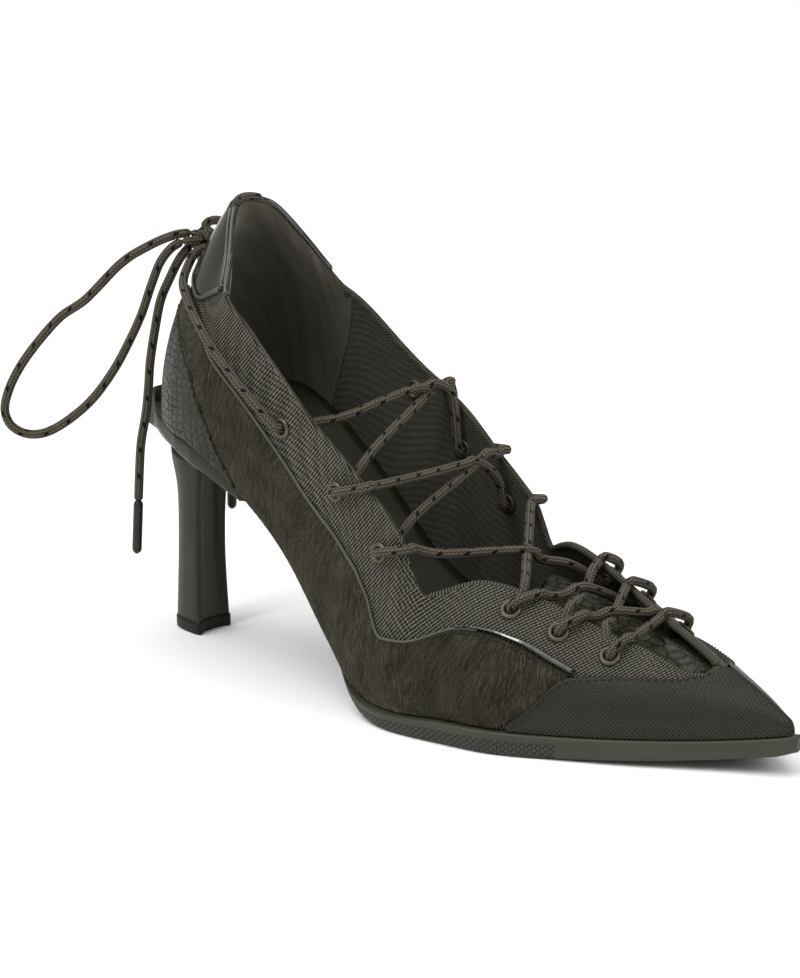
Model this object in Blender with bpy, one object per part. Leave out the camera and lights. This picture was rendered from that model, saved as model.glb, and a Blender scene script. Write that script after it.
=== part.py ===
"""Lace-up heel for the right foot: a pointed pump with a cut-out throat, laced across and tied behind the heel.

Metres, +Z up, +X toward the toe, +Y toward the other foot. The heel and the ball stand on Z = 0.
Every piece of the upper is a patch of one function, last_point, which stands for the maker's last.
"""

import math

import bmesh
import bpy
import numpy as np
from mathutils import Matrix, Vector

# Driving sizes
LENGTH = 0.2354  # upper, from the heel curve to the toe tip
BALL_WIDTH = 0.076  # upper, across the ball
SEAT_HEIGHT = 0.0735  # upper's lower edge at the back
TOP_HEIGHT = 0.1428  # top of the heel tab
WALL = 0.0018
OVERLAY = 0.0011
GAP = 0.00035
LIFT_HEIGHT = 0.0040
LACE = 0.0029

LATERAL = -1.0
MEDIAL = 1.0

# The last. A row is one section, from the back of the heel to the toe tip. Lengths along and half widths are
# shares of LENGTH and BALL_WIDTH. Edge and top heights are shares of SEAT_HEIGHT and of TOP_HEIGHT.
# Flare is the wall's angle outward at its lower edge, and roll its angle inward at its top, in degrees.
SECTIONS = (
    # along, lateral, medial, edge, top along, top lateral, top medial, top, flare, roll
    (0.000, 0.000, 0.000, 1.000, 0.113, 0.000, 0.000, 1.000, 0, 34),
    (0.008, 0.112, 0.112, 0.997, 0.119, 0.068, 0.068, 0.996, 1, 33),
    (0.028, 0.214, 0.214, 0.988, 0.134, 0.126, 0.126, 0.980, 2, 32),
    (0.066, 0.293, 0.293, 0.969, 0.153, 0.204, 0.204, 0.921, 4, 30),
    (0.117, 0.329, 0.329, 0.928, 0.175, 0.316, 0.316, 0.833, 7, 18),
    (0.185, 0.329, 0.329, 0.803, 0.226, 0.353, 0.353, 0.770, 9, 8),
    (0.270, 0.322, 0.316, 0.565, 0.317, 0.374, 0.374, 0.641, 9, 6),
    (0.355, 0.355, 0.329, 0.245, 0.395, 0.392, 0.392, 0.546, 9, 7),
    (0.423, 0.434, 0.382, 0.098, 0.457, 0.401, 0.401, 0.459, 9, 7),
    (0.500, 0.500, 0.447, 0.076, 0.519, 0.388, 0.382, 0.378, 6, 14),
    (0.585, 0.500, 0.500, 0.095, 0.585, 0.105, 0.145, 0.410, 4, 52),
    (0.661, 0.480, 0.493, 0.101, 0.661, -0.020, 0.053, 0.357, 5, 70),
    (0.737, 0.382, 0.441, 0.102, 0.737, -0.033, 0.033, 0.294, 6, 69),
    (0.814, 0.276, 0.342, 0.112, 0.814, -0.029, 0.029, 0.245, 6, 66),
    (0.886, 0.158, 0.230, 0.125, 0.886, -0.020, 0.020, 0.199, 5, 61),
    (0.950, 0.061, 0.116, 0.147, 0.947, -0.008, 0.008, 0.155, 4, 58),
    (1.000, 0.000, 0.000, 0.174, 0.995, 0.000, 0.000, 0.112, 0, 55),
)
COLUMNS = np.array(SECTIONS, float)
TIP = len(SECTIONS) - 1.0
EVEN_AT_BACK = (0, 3, 4, 7, 8, 9)

# Lines on the last: place along a side in rows of SECTIONS, then a height from 0 at the edge to 1 at the top.
TOP_LINE = (
    # place, lateral, medial
    (0.00, 1.000, 1.000),
    (1.60, 0.992, 0.992),
    (2.50, 0.975, 0.985),
    (3.20, 0.965, 0.980),
    (3.90, 0.975, 0.973),
    (4.35, 0.990, 0.950),
    (5.60, 0.980, 0.985),
    (6.35, 0.962, 1.020),
    (7.00, 0.975, 1.010),
    (7.60, 0.985, 0.985),
    (8.30, 0.995, 0.980),
    (8.65, 0.995, 0.977),
    (8.80, 0.950, 0.945),
    (8.95, 0.875, 0.880),
    (9.12, 0.775, 0.800),
    (9.24, 0.714, 0.745),
    (9.40, 0.700, 0.725),
    (9.85, 0.687, 0.715),
    (10.30, 0.688, 0.720),
    (10.87, 0.690, 0.723),
    (11.15, 0.678, 0.725),
    (12.05, 0.690, 0.750),
    (12.75, 0.706, 0.785),
    (13.00, 0.697, 0.802),
    (13.30, 0.676, 0.826),
    (13.60, 0.680, 0.864),
    (13.87, 0.757, 0.910),
    (14.01, 0.880, 0.964),
    (14.10, 1.000, 1.000),
    (16.00, 1.000, 1.000),
)
HAIR_TOP = (
    (1.50, 0.598),
    (3.63, 0.656),
    (4.74, 0.593),
    (5.76, 0.570),
    (6.31, 0.562),
    (7.08, 0.610),
    (7.75, 0.600),
    (8.22, 0.531),
    (8.50, 0.427),
    (8.61, 0.403),
    (8.96, 0.432),
    (10.00, 0.443),
    (10.70, 0.444),
    (11.08, 0.427),
    (11.49, 0.395),
    (11.98, 0.366),
)
COUNTER_TOP = (
    (0.00, 0.560),
    (1.60, 0.535),
    (2.60, 0.500),
    (3.67, 0.432),
    (4.07, 0.346),
    (4.42, 0.240),
    (4.70, 0.130),
    (5.10, 0.020),
)
TAB_LOW = (
    (0.00, 0.690),
    (1.36, 0.677),
    (2.16, 0.665),
    (2.68, 0.675),
    (2.93, 0.711),
    (3.12, 0.764),
    (3.37, 0.845),
    (3.80, 0.965),
)
CAP_TOP = (
    (11.12, 0.010),
    (11.43, 0.089),
    (11.66, 0.200),
    (11.83, 0.325),
    (11.98, 0.366),
    (12.37, 0.418),
    (12.92, 0.499),
    (13.26, 0.548),
    (13.58, 0.623),
    (13.87, 0.760),
    (14.02, 0.859),
    (14.10, 0.960),
    (14.16, 1.000),
)
SLOT_START = 10.5
SLOT_END = 14.10
STATIONS = (
    [0.0, 0.35, 0.7, 1.05, 1.4, 1.8, 2.2, 2.6, 3.0, 3.4, 3.8, 4.3, 4.8, 5.4, 6.0, 6.6, 7.2, 7.8, 8.3, 8.65]
    + [8.8, 8.95, 9.1, 9.24, 9.4, 9.6, 9.85, 10.3, 10.75, 11.15, 11.6, 12.05, 12.5, 13.0, 13.3, 13.6, 13.87, 14.01, 14.1]
    + [14.5, 15.0, 15.4, 15.75, 16.0]
)
LEVELS = 6

# Eyelets: place and height of each hole, from the back one to the front one
LATERAL_EYELETS = ((5.76, 0.728), (6.93, 0.799), (8.17, 0.794), (10.71, 0.588), (11.43, 0.562), (12.33, 0.565))
MEDIAL_EYELETS = ((5.91, 0.820), (6.87, 0.793), (8.02, 0.784), (10.71, 0.570), (11.43, 0.545), (12.33, 0.540))
EYELET_RADIUS = 0.0033
EYELET_BORE = 0.0017
EYELET_RISE = 0.0012
BARREL_RADIUS = 0.0021
BARREL_END = 0.0006
HOLE_RADIUS = 0.0024

COLLECTION = bpy.context.scene.collection

# Looks: base colour, roughness and metallic of each material, and the pieces that have it
LOOKS = {
    "woven_fabric": ((0.115, 0.110, 0.080), 0.85, 0.0, ("upper",)),
    "hair_leather": ((0.080, 0.075, 0.050), 0.75, 0.0, ("quarter",)),
    "embossed_leather": ((0.075, 0.076, 0.052), 0.35, 0.0, ("heel_counter", "tongue")),
    "patent_leather": ((0.055, 0.057, 0.038), 0.10, 0.0, ("heel_tab", "piping")),
    "pebbled_leather": ((0.070, 0.070, 0.052), 0.55, 0.0, ("toe_cap",)),
    "lining_leather": ((0.120, 0.115, 0.080), 0.50, 0.0, ("insole",)),
    "sole_rubber": ((0.070, 0.070, 0.055), 0.50, 0.0, ("outsole",)),
    "heel_plastic": ((0.085, 0.085, 0.070), 0.38, 0.0, ("heel", "heel_seat")),
    "lift_rubber": ((0.030, 0.026, 0.020), 0.50, 0.0, ("top_lift",)),
    "eyelet_brass": ((0.160, 0.140, 0.090), 0.40, 0.8, ("eyelet",)),
    "lace_cord": ((0.150, 0.135, 0.100), 0.85, 0.0, ("lace", "knot", "loop", "end")),
    "aglet_plastic": ((0.075, 0.072, 0.060), 0.30, 0.0, ("aglet",)),
}


def smooth(values, place, even):
    """A Catmull-Rom curve through one column of a table. An even column mirrors itself before its first row."""
    before = values[1] if even else 2 * values[0] - values[1]
    padded = np.concatenate([[before], values, [2 * values[-1] - values[-2]]])
    row = int(min(max(math.floor(place), 0), len(values) - 2))
    s = place - row
    a, b, c, d = padded[row : row + 4]
    return b + 0.5 * s * (c - a + s * (2 * a - 5 * b + 4 * c - d + s * (3 * (b - c) + d - a)))


def section(side, place):
    """Lower edge, top, flare and roll of the last at a place along one side."""
    row = [smooth(COLUMNS[:, i], place, i in EVEN_AT_BACK) for i in range(COLUMNS.shape[1])]
    along, lateral, medial, edge, top_along, top_lateral, top_medial, top, flare, roll = row
    half = lateral if side < 0 else medial
    top_half = top_lateral if side < 0 else top_medial
    low = np.array([along * LENGTH, side * half * BALL_WIDTH, edge * SEAT_HEIGHT])
    high = np.array([top_along * LENGTH, side * top_half * BALL_WIDTH, top * TOP_HEIGHT])
    return low, high, math.radians(flare), math.radians(roll)


def outward(side, place):
    """Level unit vector that points out of the shoe at the lower edge."""
    step = 0.02
    if place < step:
        return np.array([-1.0, 0.0, 0.0])
    if place > TIP - 0.001:
        return np.array([1.0, 0.0, 0.0])
    place = min(place, TIP - step)
    run = (section(side, place + step)[0] - section(side, place - step)[0])[:2]
    normal = np.array([-run[1], run[0]]) * side
    return np.array([*(normal / np.linalg.norm(normal)), 0.0])


def last_point(side, place, height):
    """Point of the last: place along one side, in rows, and height from 0 at the lower edge to 1 at the top."""
    low, high, flare, roll = section(side, place)
    out = outward(side, place)
    up = np.array([0.0, 0.0, 1.0])
    handle = 0.36 * np.linalg.norm(high - low)
    first = low + handle * (math.cos(flare) * up + math.sin(flare) * out)
    second = high + handle * (math.sin(roll) * out - math.cos(roll) * up)
    h, k = height, 1.0 - height
    return k**3 * low + 3 * k * k * h * first + 3 * k * h * h * second + h**3 * high


def last_normal(side, place, height):
    """Unit normal of the last, out of the shoe."""
    if place > TIP - 0.001:
        return np.array([0.94, 0.0, 0.34])
    if height > 0.999 and place > SLOT_END - 0.001:
        slope = last_point(side, place + 0.05, 1.0) - last_point(side, place - 0.05, 1.0)
        return np.array([-slope[2], 0.0, slope[0]]) / math.hypot(slope[0], slope[2])
    near = max(place - 0.05, 0.0)
    along = last_point(side, place + 0.05, height) - last_point(side, near, height)
    if place < 0.001:
        along = np.array([0.0, side, 0.0])
    rise = last_point(side, place, height + 0.02) - last_point(side, place, height - 0.02)
    normal = np.cross(rise, along) * side
    return normal / np.linalg.norm(normal)


def skin(side, place, height, offset):
    """Point at a distance outside the last, or inside it where offset is negative."""
    return last_point(side, place, height) + offset * last_normal(side, place, height)


def line(table, place, column=1):
    """Height of a line on the last at a place."""
    rows = np.array(table, float)
    return float(np.interp(place, rows[:, 0], rows[:, column]))


def top_line(side, place):
    return line(TOP_LINE, place, 1 if side < 0 else 2)


def cap_top(side, place):
    """Top of the toe cap, which stays just below the slot's edge until the slot ends."""
    top = line(CAP_TOP, place)
    return min(top, top_line(side, place) - 0.012) if place < SLOT_END else top


def lining_place(place):
    """Place of the lining under a place of the outside. The lining stops short of the pointed tip."""
    start, stop = 13.4, 15.3
    return place if place < start else start + (place - start) * (stop - start) / (TIP - start)


def add_mesh(name, points, faces, merge=2e-5):
    """A closed body from loose faces. Its doubled points are welded and its faces turned outward."""
    mesh = bpy.data.meshes.new(name)
    body = bmesh.new()
    verts = [body.verts.new(Vector(p)) for p in points]
    for face in faces:
        if len(set(face)) > 2:
            body.faces.new([verts[i] for i in dict.fromkeys(face)])
    bmesh.ops.remove_doubles(body, verts=body.verts, dist=merge)
    bmesh.ops.dissolve_degenerate(body, dist=merge, edges=body.edges)
    bmesh.ops.triangulate(body, faces=body.faces, quad_method="SHORT_EDGE")
    bmesh.ops.recalc_face_normals(body, faces=body.faces)
    body.to_mesh(mesh)
    body.free()
    made = bpy.data.objects.new(name, mesh)
    COLLECTION.objects.link(made)
    return made


def slab(name, front, back, wrap=False, merge=2e-5):
    """A body between two grids of points of one shape: its front, its back and the strips round the rim."""
    rows, columns = front.shape[:2]
    points = [*front.reshape(-1, 3), *back.reshape(-1, 3)]
    shift = rows * columns

    def at(i, j, behind):
        return (i % rows) * columns + j + (shift if behind else 0)

    faces = []
    for i in range(rows if wrap else rows - 1):
        for j in range(columns - 1):
            for behind in (False, True):
                faces.append([at(i, j, behind), at(i + 1, j, behind), at(i + 1, j + 1, behind), at(i, j + 1, behind)])
        for j in (0, columns - 1):
            faces.append([at(i, j, False), at(i + 1, j, False), at(i + 1, j, True), at(i, j, True)])
    if not wrap:
        for i in (0, rows - 1):
            for j in range(columns - 1):
                faces.append([at(i, j, False), at(i, j + 1, False), at(i, j + 1, True), at(i, j, True)])
    return add_mesh(name, points, faces, merge)


def both_sides(places):
    """Stations round the shoe: down the lateral side to the heel and up the medial side."""
    return [(LATERAL, p) for p in reversed(places)] + [(MEDIAL, p) for p in places if p > 0.0]


def shell(name, stations, low, high, levels, near, far):
    """A piece cut from the last between two lines, from one distance outside the last to another."""
    grids = []
    for offset in (far, near):
        grid = []
        for side, place in stations:
            bottom, top = low(side, place), high(side, place)
            heights = [bottom + (top - bottom) * j / levels for j in range(levels + 1)]
            grid.append([skin(side, place, h, offset) for h in heights])
        grids.append(np.array(grid))
    return slab(name, grids[0], grids[1])


def between(first, last, extra=()):
    """Stations of the upper between two places, with both ends."""
    inner = [p for p in STATIONS if first + 0.06 < p < last - 0.06]
    return sorted({first, last, *inner, *extra})


def build_upper():
    stations = both_sides(STATIONS)
    outer, inner = [], []
    for side, place in stations:
        top = top_line(side, place)
        heights = [top * j / LEVELS for j in range(LEVELS + 1)]
        outer.append([last_point(side, place, h) for h in heights])
        under = lining_place(place)
        inner.append([skin(side, under, h, -WALL) for h in heights])
    outer, inner = np.array(outer), np.array(inner)
    count = len(stations)
    for i, (side, place) in enumerate(stations):
        other = count - 1 - i
        if side < 0 and place > SLOT_END - 0.001:
            middle = 0.5 * (inner[i][-1] + inner[other][-1])
            inner[i][-1] = middle
            inner[other][-1] = middle
    middle = 0.5 * (inner[0] + inner[-1])
    inner[0] = middle
    inner[-1] = middle
    closed = [i for i, (side, place) in enumerate(stations) if place > SLOT_END - 0.001]
    rows, columns = outer.shape[:2]
    points = [*outer.reshape(-1, 3), *inner.reshape(-1, 3)]
    shift = rows * columns
    faces = []
    for i in range(rows - 1):
        for j in range(columns - 1):
            a, b = i * columns + j, (i + 1) * columns + j
            faces.append([a, b, b + 1, a + 1])
            faces.append([shift + a, shift + b, shift + b + 1, shift + a + 1])
        a, b = i * columns, (i + 1) * columns
        faces.append([a, b, shift + b, shift + a])
        if not (i in closed and i + 1 in closed):
            a, b = a + columns - 1, b + columns - 1
            faces.append([a, b, shift + b, shift + a])
    made = add_mesh("upper", points, faces)
    cut_holes(made)
    return made


def eyelet_frame(side, spot):
    """Matrix at an eyelet: its Z axis points out of the shoe and its origin is on the last."""
    place, height = spot
    normal = Vector(last_normal(side, place, height))
    frame = normal.to_track_quat("Z", "Y").to_matrix().to_4x4()
    frame.translation = Vector(last_point(side, place, height))
    return frame


def every_eyelet():
    return [(LATERAL, s) for s in LATERAL_EYELETS] + [(MEDIAL, s) for s in MEDIAL_EYELETS]


def cut_holes(target):
    """Bore one round hole through the wall for each eyelet."""
    body = bmesh.new()
    for side, spot in every_eyelet():
        bmesh.ops.create_cone(
            body, cap_ends=True, segments=10, radius1=HOLE_RADIUS, radius2=HOLE_RADIUS, depth=0.010,
            matrix=eyelet_frame(side, spot),
        )
    mesh = bpy.data.meshes.new("hole_cutter")
    body.to_mesh(mesh)
    body.free()
    cutter = bpy.data.objects.new("hole_cutter", mesh)
    COLLECTION.objects.link(cutter)
    bore = target.modifiers.new("eyelet_holes", "BOOLEAN")
    bore.operation = "DIFFERENCE"
    bore.solver = "EXACT"
    bore.object = cutter
    bpy.context.view_layer.update()
    done = bpy.data.meshes.new_from_object(target.evaluated_get(bpy.context.evaluated_depsgraph_get()))
    target.modifiers.clear()
    target.data = done
    bpy.data.objects.remove(cutter)


def build_eyelet(name, side, spot):
    """A flanged ring on the outside with its barrel through the wall."""
    segments = 8
    seat = 0.0004
    profile = (
        # radius, height above the last
        (EYELET_BORE, -WALL - BARREL_END),
        (BARREL_RADIUS, -WALL - BARREL_END),
        (BARREL_RADIUS, seat),
        (EYELET_RADIUS, seat),
        (EYELET_RADIUS - 0.0006, EYELET_RISE),
        (EYELET_BORE, EYELET_RISE),
    )
    frame = eyelet_frame(side, spot)
    points, faces = [], []
    for i in range(segments):
        turn = 2 * math.pi * (i + 0.5) / segments
        for radius, height in profile:
            points.append(frame @ Vector((radius * math.cos(turn), radius * math.sin(turn), height)))
    n = len(profile)
    for i in range(segments):
        a, b = i * n, (i + 1) % segments * n
        for j in range(n):
            k = (j + 1) % n
            faces.append([a + j, b + j, b + k, a + k])
    return add_mesh(name, points, faces)


def build_overlays():
    """Counter, hair quarters, heel tab, toe cap and the piping: shells that stand on the upper."""
    near, far = GAP, GAP + OVERLAY

    def counter_top(side, place):
        return line(COUNTER_TOP, place)

    shell("heel_counter", both_sides(between(0.0, 5.05)), lambda s, p: 0.004, counter_top, 4, near, far)

    for label, side in (("lateral", LATERAL), ("medial", MEDIAL)):

        def hair_low(s, place):
            back = line(COUNTER_TOP, place) + 0.012 if place < 5.08 else 0.0
            front = line(CAP_TOP, place) + 0.012 if place > 11.05 else 0.0
            return max(back, front, 0.004)

        def hair_high(s, place):
            return max(line(HAIR_TOP, place), hair_low(s, place) + 0.01)

        places = between(1.5, 11.95)
        shell(f"quarter_{label}", [(side, p) for p in places], hair_low, hair_high, 4, near, far)

        def bead_low(s, place):
            return line(HAIR_TOP, place) + 0.012

        def bead_high(s, place):
            return line(HAIR_TOP, place) + 0.045

        beads = between(10.0, 11.9)
        shell(f"piping_{label}", [(side, p) for p in beads], bead_low, bead_high, 2, near, far + 0.0006)

    tab = both_sides(between(0.0, 3.75))
    shell("heel_tab", tab, lambda s, p: line(TAB_LOW, p), lambda s, p: top_line(s, p) - 0.004, 4, near, far)

    cap = both_sides([0.0] + between(11.2, TIP))
    cap = [(s, p) for s, p in cap if p > 0.0]
    lateral = [(s, p) for s, p in cap if s < 0]
    medial = [(s, p) for s, p in cap if s > 0]
    build_toe_cap(lateral, medial, near + 0.0002, far + 0.0002)


def build_toe_cap(lateral, medial, near, far):
    """The cap closes over the toe: its two sides meet along the ridge ahead of the slot and at the tip."""
    levels = LEVELS
    layers = []
    for offset in (far, near):
        for stations in (lateral, medial):
            grid = []
            for side, place in stations:
                top = cap_top(side, place)
                grid.append([skin(side, place, 0.004 + (top - 0.004) * j / levels, offset) for j in range(levels + 1)])
            layers.append(np.array(grid if stations is medial else grid[::-1]))
    points, faces, base = [], [], []
    for grid in layers:
        base.append(len(points))
        points += list(grid.reshape(-1, 3))
    rows, columns = layers[0].shape[:2]
    places = [p for s, p in medial]

    def at(layer, i, j):
        return base[layer] + i * columns + j

    for layer in range(4):
        for i in range(rows - 1):
            for j in range(columns - 1):
                faces.append([at(layer, i, j), at(layer, i + 1, j), at(layer, i + 1, j + 1), at(layer, i, j + 1)])
    for front, back in ((0, 2), (1, 3)):
        for i in range(rows - 1):
            faces.append([at(front, i, 0), at(front, i + 1, 0), at(back, i + 1, 0), at(back, i, 0)])
            if places[i] < 14.15:
                j = columns - 1
                faces.append([at(front, i, j), at(front, i + 1, j), at(back, i + 1, j), at(back, i, j)])
        for j in range(columns - 1):
            faces.append([at(front, 0, j), at(front, 0, j + 1), at(back, 0, j + 1), at(back, 0, j)])
    return add_mesh("toe_cap", points, faces, merge=5e-5)


# Tongue, from its lateral edge to its medial edge: the place where each column of its rounded free end starts
TONGUE_END = (10.95, 10.82, 10.56, 10.33, 10.10, 10.16, 12.60)
TONGUE_ACROSS = (None, 0.0, 0.25, 0.45, 0.68, 0.88, None)  # each column's share of the way across the slot
TONGUE_DROP = (0.0, 0.0, 0.0014, 0.0030, 0.0050, 0.0055, 0.0055)  # how far the free end hangs, in metres
DROP_START, DROP_RUN = 12.6, 1.6
TONGUE_FRONT = 14.3
TONGUE_TUCK = 0.14  # how far it reaches under each edge of the slot, in heights of the last
TONGUE_SAG = 0.0030


def tongue_point(place, column, offset):
    """Point of the tongue. Columns 0 and 6 lie under the upper, 1 and 5 under the slot's edges, 3 in the middle."""
    side = LATERAL if column < 3 else MEDIAL
    if column in (0, 6):
        return skin(side, place, top_line(side, place) - TONGUE_TUCK, offset)
    left, right = (skin(s, place, top_line(s, place), offset) for s in (LATERAL, MEDIAL))
    share = TONGUE_ACROSS[column]
    width = np.linalg.norm(right - left)
    sag = TONGUE_SAG * min(1.0, width / 0.010) * 4 * share * (1 - share)
    drop = TONGUE_DROP[column] * min(max((DROP_START - place) / DROP_RUN, 0.0), 1.0)
    return left + share * (right - left) - np.array([0.0, 0.0, sag + drop])


def build_tongue():
    """A strap under the slot, rounded and askew at its free end."""
    depth = WALL + 0.0007
    thick = 0.0014
    front, back = [], []
    for share in (0.0, 0.05, 0.14, 0.28, 0.45, 0.62, 0.78, 0.90, 1.0):
        places = [end + share * (TONGUE_FRONT - end) for end in TONGUE_END]
        front.append([tongue_point(place, column, -depth) for column, place in enumerate(places)])
        back.append([tongue_point(place, column, -depth - thick) for column, place in enumerate(places)])
    return slab("tongue", np.array(front), np.array(back))


SOLE_ROWS = (
    # place, margin outside the upper
    (5.25, -0.0045),
    (5.60, -0.0028),
    (6.00, -0.0016),
    (6.60, -0.0008),
    (7.20, 0.0000),
    (7.70, 0.0014),
    (8.05, 0.0026),
    (8.40, 0.0034),
    (9.00, 0.0038),
    (9.70, 0.0036),
    (10.40, 0.0030),
    (11.15, 0.0026),
    (11.90, 0.0026),
    (12.60, 0.0026),
    (13.30, 0.0026),
    (14.00, 0.0026),
    (14.70, 0.0025),
    (15.30, 0.0024),
    (15.80, 0.0024),
)


# Rise of the insole where it meets the medial wall, as a share of SEAT_HEIGHT
ARCH = (
    (2.0, 0.0),
    (3.0, 0.068),
    (4.0, 0.116),
    (5.0, 0.129),
    (6.0, 0.136),
    (7.0, 0.163),
    (8.0, 0.177),
    (9.0, 0.163),
    (10.0, 0.109),
    (11.0, 0.041),
    (12.0, 0.0),
)


def arch_height(place, rise):
    """Height on the last, from 0 to 1, of a point that stands above the medial lower edge."""
    base = section(MEDIAL, place)[0][2]
    tries = np.linspace(0.0, 0.6, 61)
    return float(np.interp(base + rise, [last_point(MEDIAL, place, h)[2] for h in tries], tries))


def build_insole():
    """A slab inside the upper that rests on the sole and rises toward the arch of the foot."""
    places = [0.0, 0.6, 1.2, 2.0, 3.0, 3.5, 4.0, 4.5] + [row[0] for row in SOLE_ROWS if row[0] < 14.8] + [15.0]
    grids = []
    for lift in (0.0028, 0.0002):
        grid = []
        for place in places:
            inset = WALL + (0.0005 if place < 12.0 else 0.0009)
            arch = line(ARCH, place) * SEAT_HEIGHT if lift > 0.001 else 0.0
            low = [section(s, place)[0] for s in (LATERAL, MEDIAL)]
            left, right = (e - inset * outward(s, place) for e, s in zip(low, (LATERAL, MEDIAL)))
            row = [left + (right - left) * k / 5 for k in range(6)]
            rise = [lift + arch * max(0.0, (k / 5 - 0.3) / 0.7) ** 1.6 for k in range(6)]
            row[5] = skin(MEDIAL, place, arch_height(place, lift + arch), -inset) if arch > 0.001 else row[5]
            rise[5] = 0.0 if arch > 0.001 else rise[5]
            grid.append([p + np.array([0.0, 0.0, r]) for p, r in zip(row, rise)])
        grids.append(np.array(grid))
    return slab("insole", grids[0], grids[1], merge=1e-6)


# Lower face of the outsole: distance along as a share of LENGTH, height as a share of SEAT_HEIGHT
SOLE_BOTTOM = (
    (0.191, 0.713),
    (0.238, 0.629),
    (0.280, 0.501),
    (0.319, 0.374),
    (0.357, 0.234),
    (0.391, 0.128),
    (0.421, 0.063),
    (0.450, 0.022),
    (0.480, 0.004),
    (0.510, 0.000),
    (0.705, 0.000),
    (0.765, 0.008),
    (0.820, 0.019),
    (0.884, 0.035),
    (0.943, 0.057),
    (0.994, 0.084),
    (1.013, 0.116),
)


def sole_bottom(x):
    """Height of the outsole's lower face along the shoe."""
    rows = np.array(SOLE_BOTTOM)
    return float(np.interp(x, rows[:, 0] * LENGTH, rows[:, 1] * SEAT_HEIGHT))


def build_sole():
    """Outsole from the heel's front edge to the toe: a thin shank that widens into the ball."""
    rows = []
    for place, margin in SOLE_ROWS:
        lateral, medial = section(LATERAL, place)[0], section(MEDIAL, place)[0]
        left = lateral + margin * outward(LATERAL, place)
        right = medial + margin * outward(MEDIAL, place)
        rows.append((left, right, lateral[2] - 0.0004))
    tip = section(LATERAL, TIP)[0]
    rows.append((tip + np.array([0.0006, -0.0026, 0.0]), tip + np.array([0.0006, 0.0026, 0.0]), tip[2] - 0.0004))
    rows.append((tip + np.array([0.0030, -0.0011, 0.0]), tip + np.array([0.0030, 0.0011, 0.0]), tip[2] + 0.0004))
    points, faces = [], []
    for left, right, top in rows:
        ring = []
        width = np.linalg.norm(right - left)
        round_in = min(0.0022, 0.3 * width)
        for end, inward in ((left, (right - left) / width), (right, (left - right) / width)):
            floor = sole_bottom(end[0])
            thick = top - floor
            side = [
                end + inward * min(0.0045, 0.4 * width),
                end + inward * round_in,
                end + inward * 0.0002,
                end,
                end + inward * 0.0005,
                end + inward * min(0.0040, 0.35 * width),
            ]
            heights = [floor, floor, floor + 0.30 * thick, floor + 0.78 * thick, top, top]
            if end[0] > 1.011 * LENGTH:
                heights = [floor, floor + 0.0006, floor + 0.30 * thick, floor + 0.78 * thick, top, top]
            edge = [np.array([p[0], p[1], z]) for p, z in zip(side, heights)]
            ring.append(edge)
        points.append(ring[0] + ring[1][::-1])
    n = len(points[0])
    flat = [p for ring in points for p in ring]
    for i in range(len(points) - 1):
        for j in range(n):
            k = (j + 1) % n
            faces.append([i * n + j, (i + 1) * n + j, (i + 1) * n + k, i * n + k])
    for i in (0, len(points) - 1):
        faces.append([i * n + j for j in range(n)])
    return add_mesh("outsole", flat, faces, merge=1e-6)


# Heel seat, from its tail to the front, as shares: distance along of LENGTH, half width of BALL_WIDTH,
# and its top, its side's lower edge and its keel of SEAT_HEIGHT
SEAT_ROWS = (
    (-0.0680, 0.021, 1.029, 0.898, 0.891),
    (-0.0629, 0.040, 1.037, 0.891, 0.871),
    (-0.0433, 0.058, 1.064, 0.901, 0.841),
    (-0.0416, 0.061, 0.995, 0.901, 0.837),
    (-0.0170, 0.145, 0.993, 0.914, 0.800),
    (0.0085, 0.197, 0.993, 0.917, 0.769),
    (0.0340, 0.247, 0.985, 0.909, 0.742),
    (0.0680, 0.297, 0.967, 0.887, 0.714),
    (0.1020, 0.324, 0.944, 0.857, 0.701),
    (0.1359, 0.330, 0.905, 0.816, 0.687),
    (0.1699, 0.329, 0.844, 0.766, 0.680),
    (0.1912, 0.324, 0.796, 0.735, 0.680),
)
SEAT_SCALE = np.array((LENGTH, BALL_WIDTH, SEAT_HEIGHT, SEAT_HEIGHT, SEAT_HEIGHT))
SEAT_SPREAD = (-1.0, -0.94, -0.55, -0.2, 0.2, 0.55, 0.94, 1.0)


def edge_height(x):
    """Height of the upper's lower edge at a distance from its back."""
    edges = np.array([section(LATERAL, 0.05 * i)[0] for i in range(240)])
    return float(np.interp(x, edges[:, 0], edges[:, 2]))


def seat_row(x):
    rows = np.array(SEAT_ROWS) * SEAT_SCALE
    half, top, side, keel = (float(np.interp(x, rows[:, 0], rows[:, i])) for i in range(1, 5))
    return half, top if x < 0.0 else edge_height(x) - 0.0006, side, keel


def seat_bottom(x, y):
    """Height of the heel seat's underside."""
    half, top, side, keel = seat_row(x)
    share = min(abs(y) / (0.94 * half), 1.0)
    return side - (side - keel) * (1.0 - share * share)


def build_heel_seat():
    """The moulded plate under the heel, with its tail behind and its keel over the heel."""
    points, faces = [], []
    for row in SEAT_ROWS:
        x = row[0] * LENGTH
        half, top, side, keel = seat_row(x)
        ring = [(x, k * half, side + 0.0008 if abs(k) == 1.0 else seat_bottom(x, k * half)) for k in SEAT_SPREAD]
        ring += [(x, half, top - 0.0006), (x, half - 0.0006, top), (x, 0.0006 - half, top), (x, -half, top - 0.0006)]
        points.append(ring)
    n = len(points[0])
    flat = [p for ring in points for p in ring]
    for i in range(len(points) - 1):
        for j in range(n):
            k = (j + 1) % n
            faces.append([i * n + j, (i + 1) * n + j, (i + 1) * n + k, i * n + k])
    for i in (0, len(points) - 1):
        faces.append([i * n + j for j in range(n)])
    return add_mesh("heel_seat", flat, faces, merge=1e-6)


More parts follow.
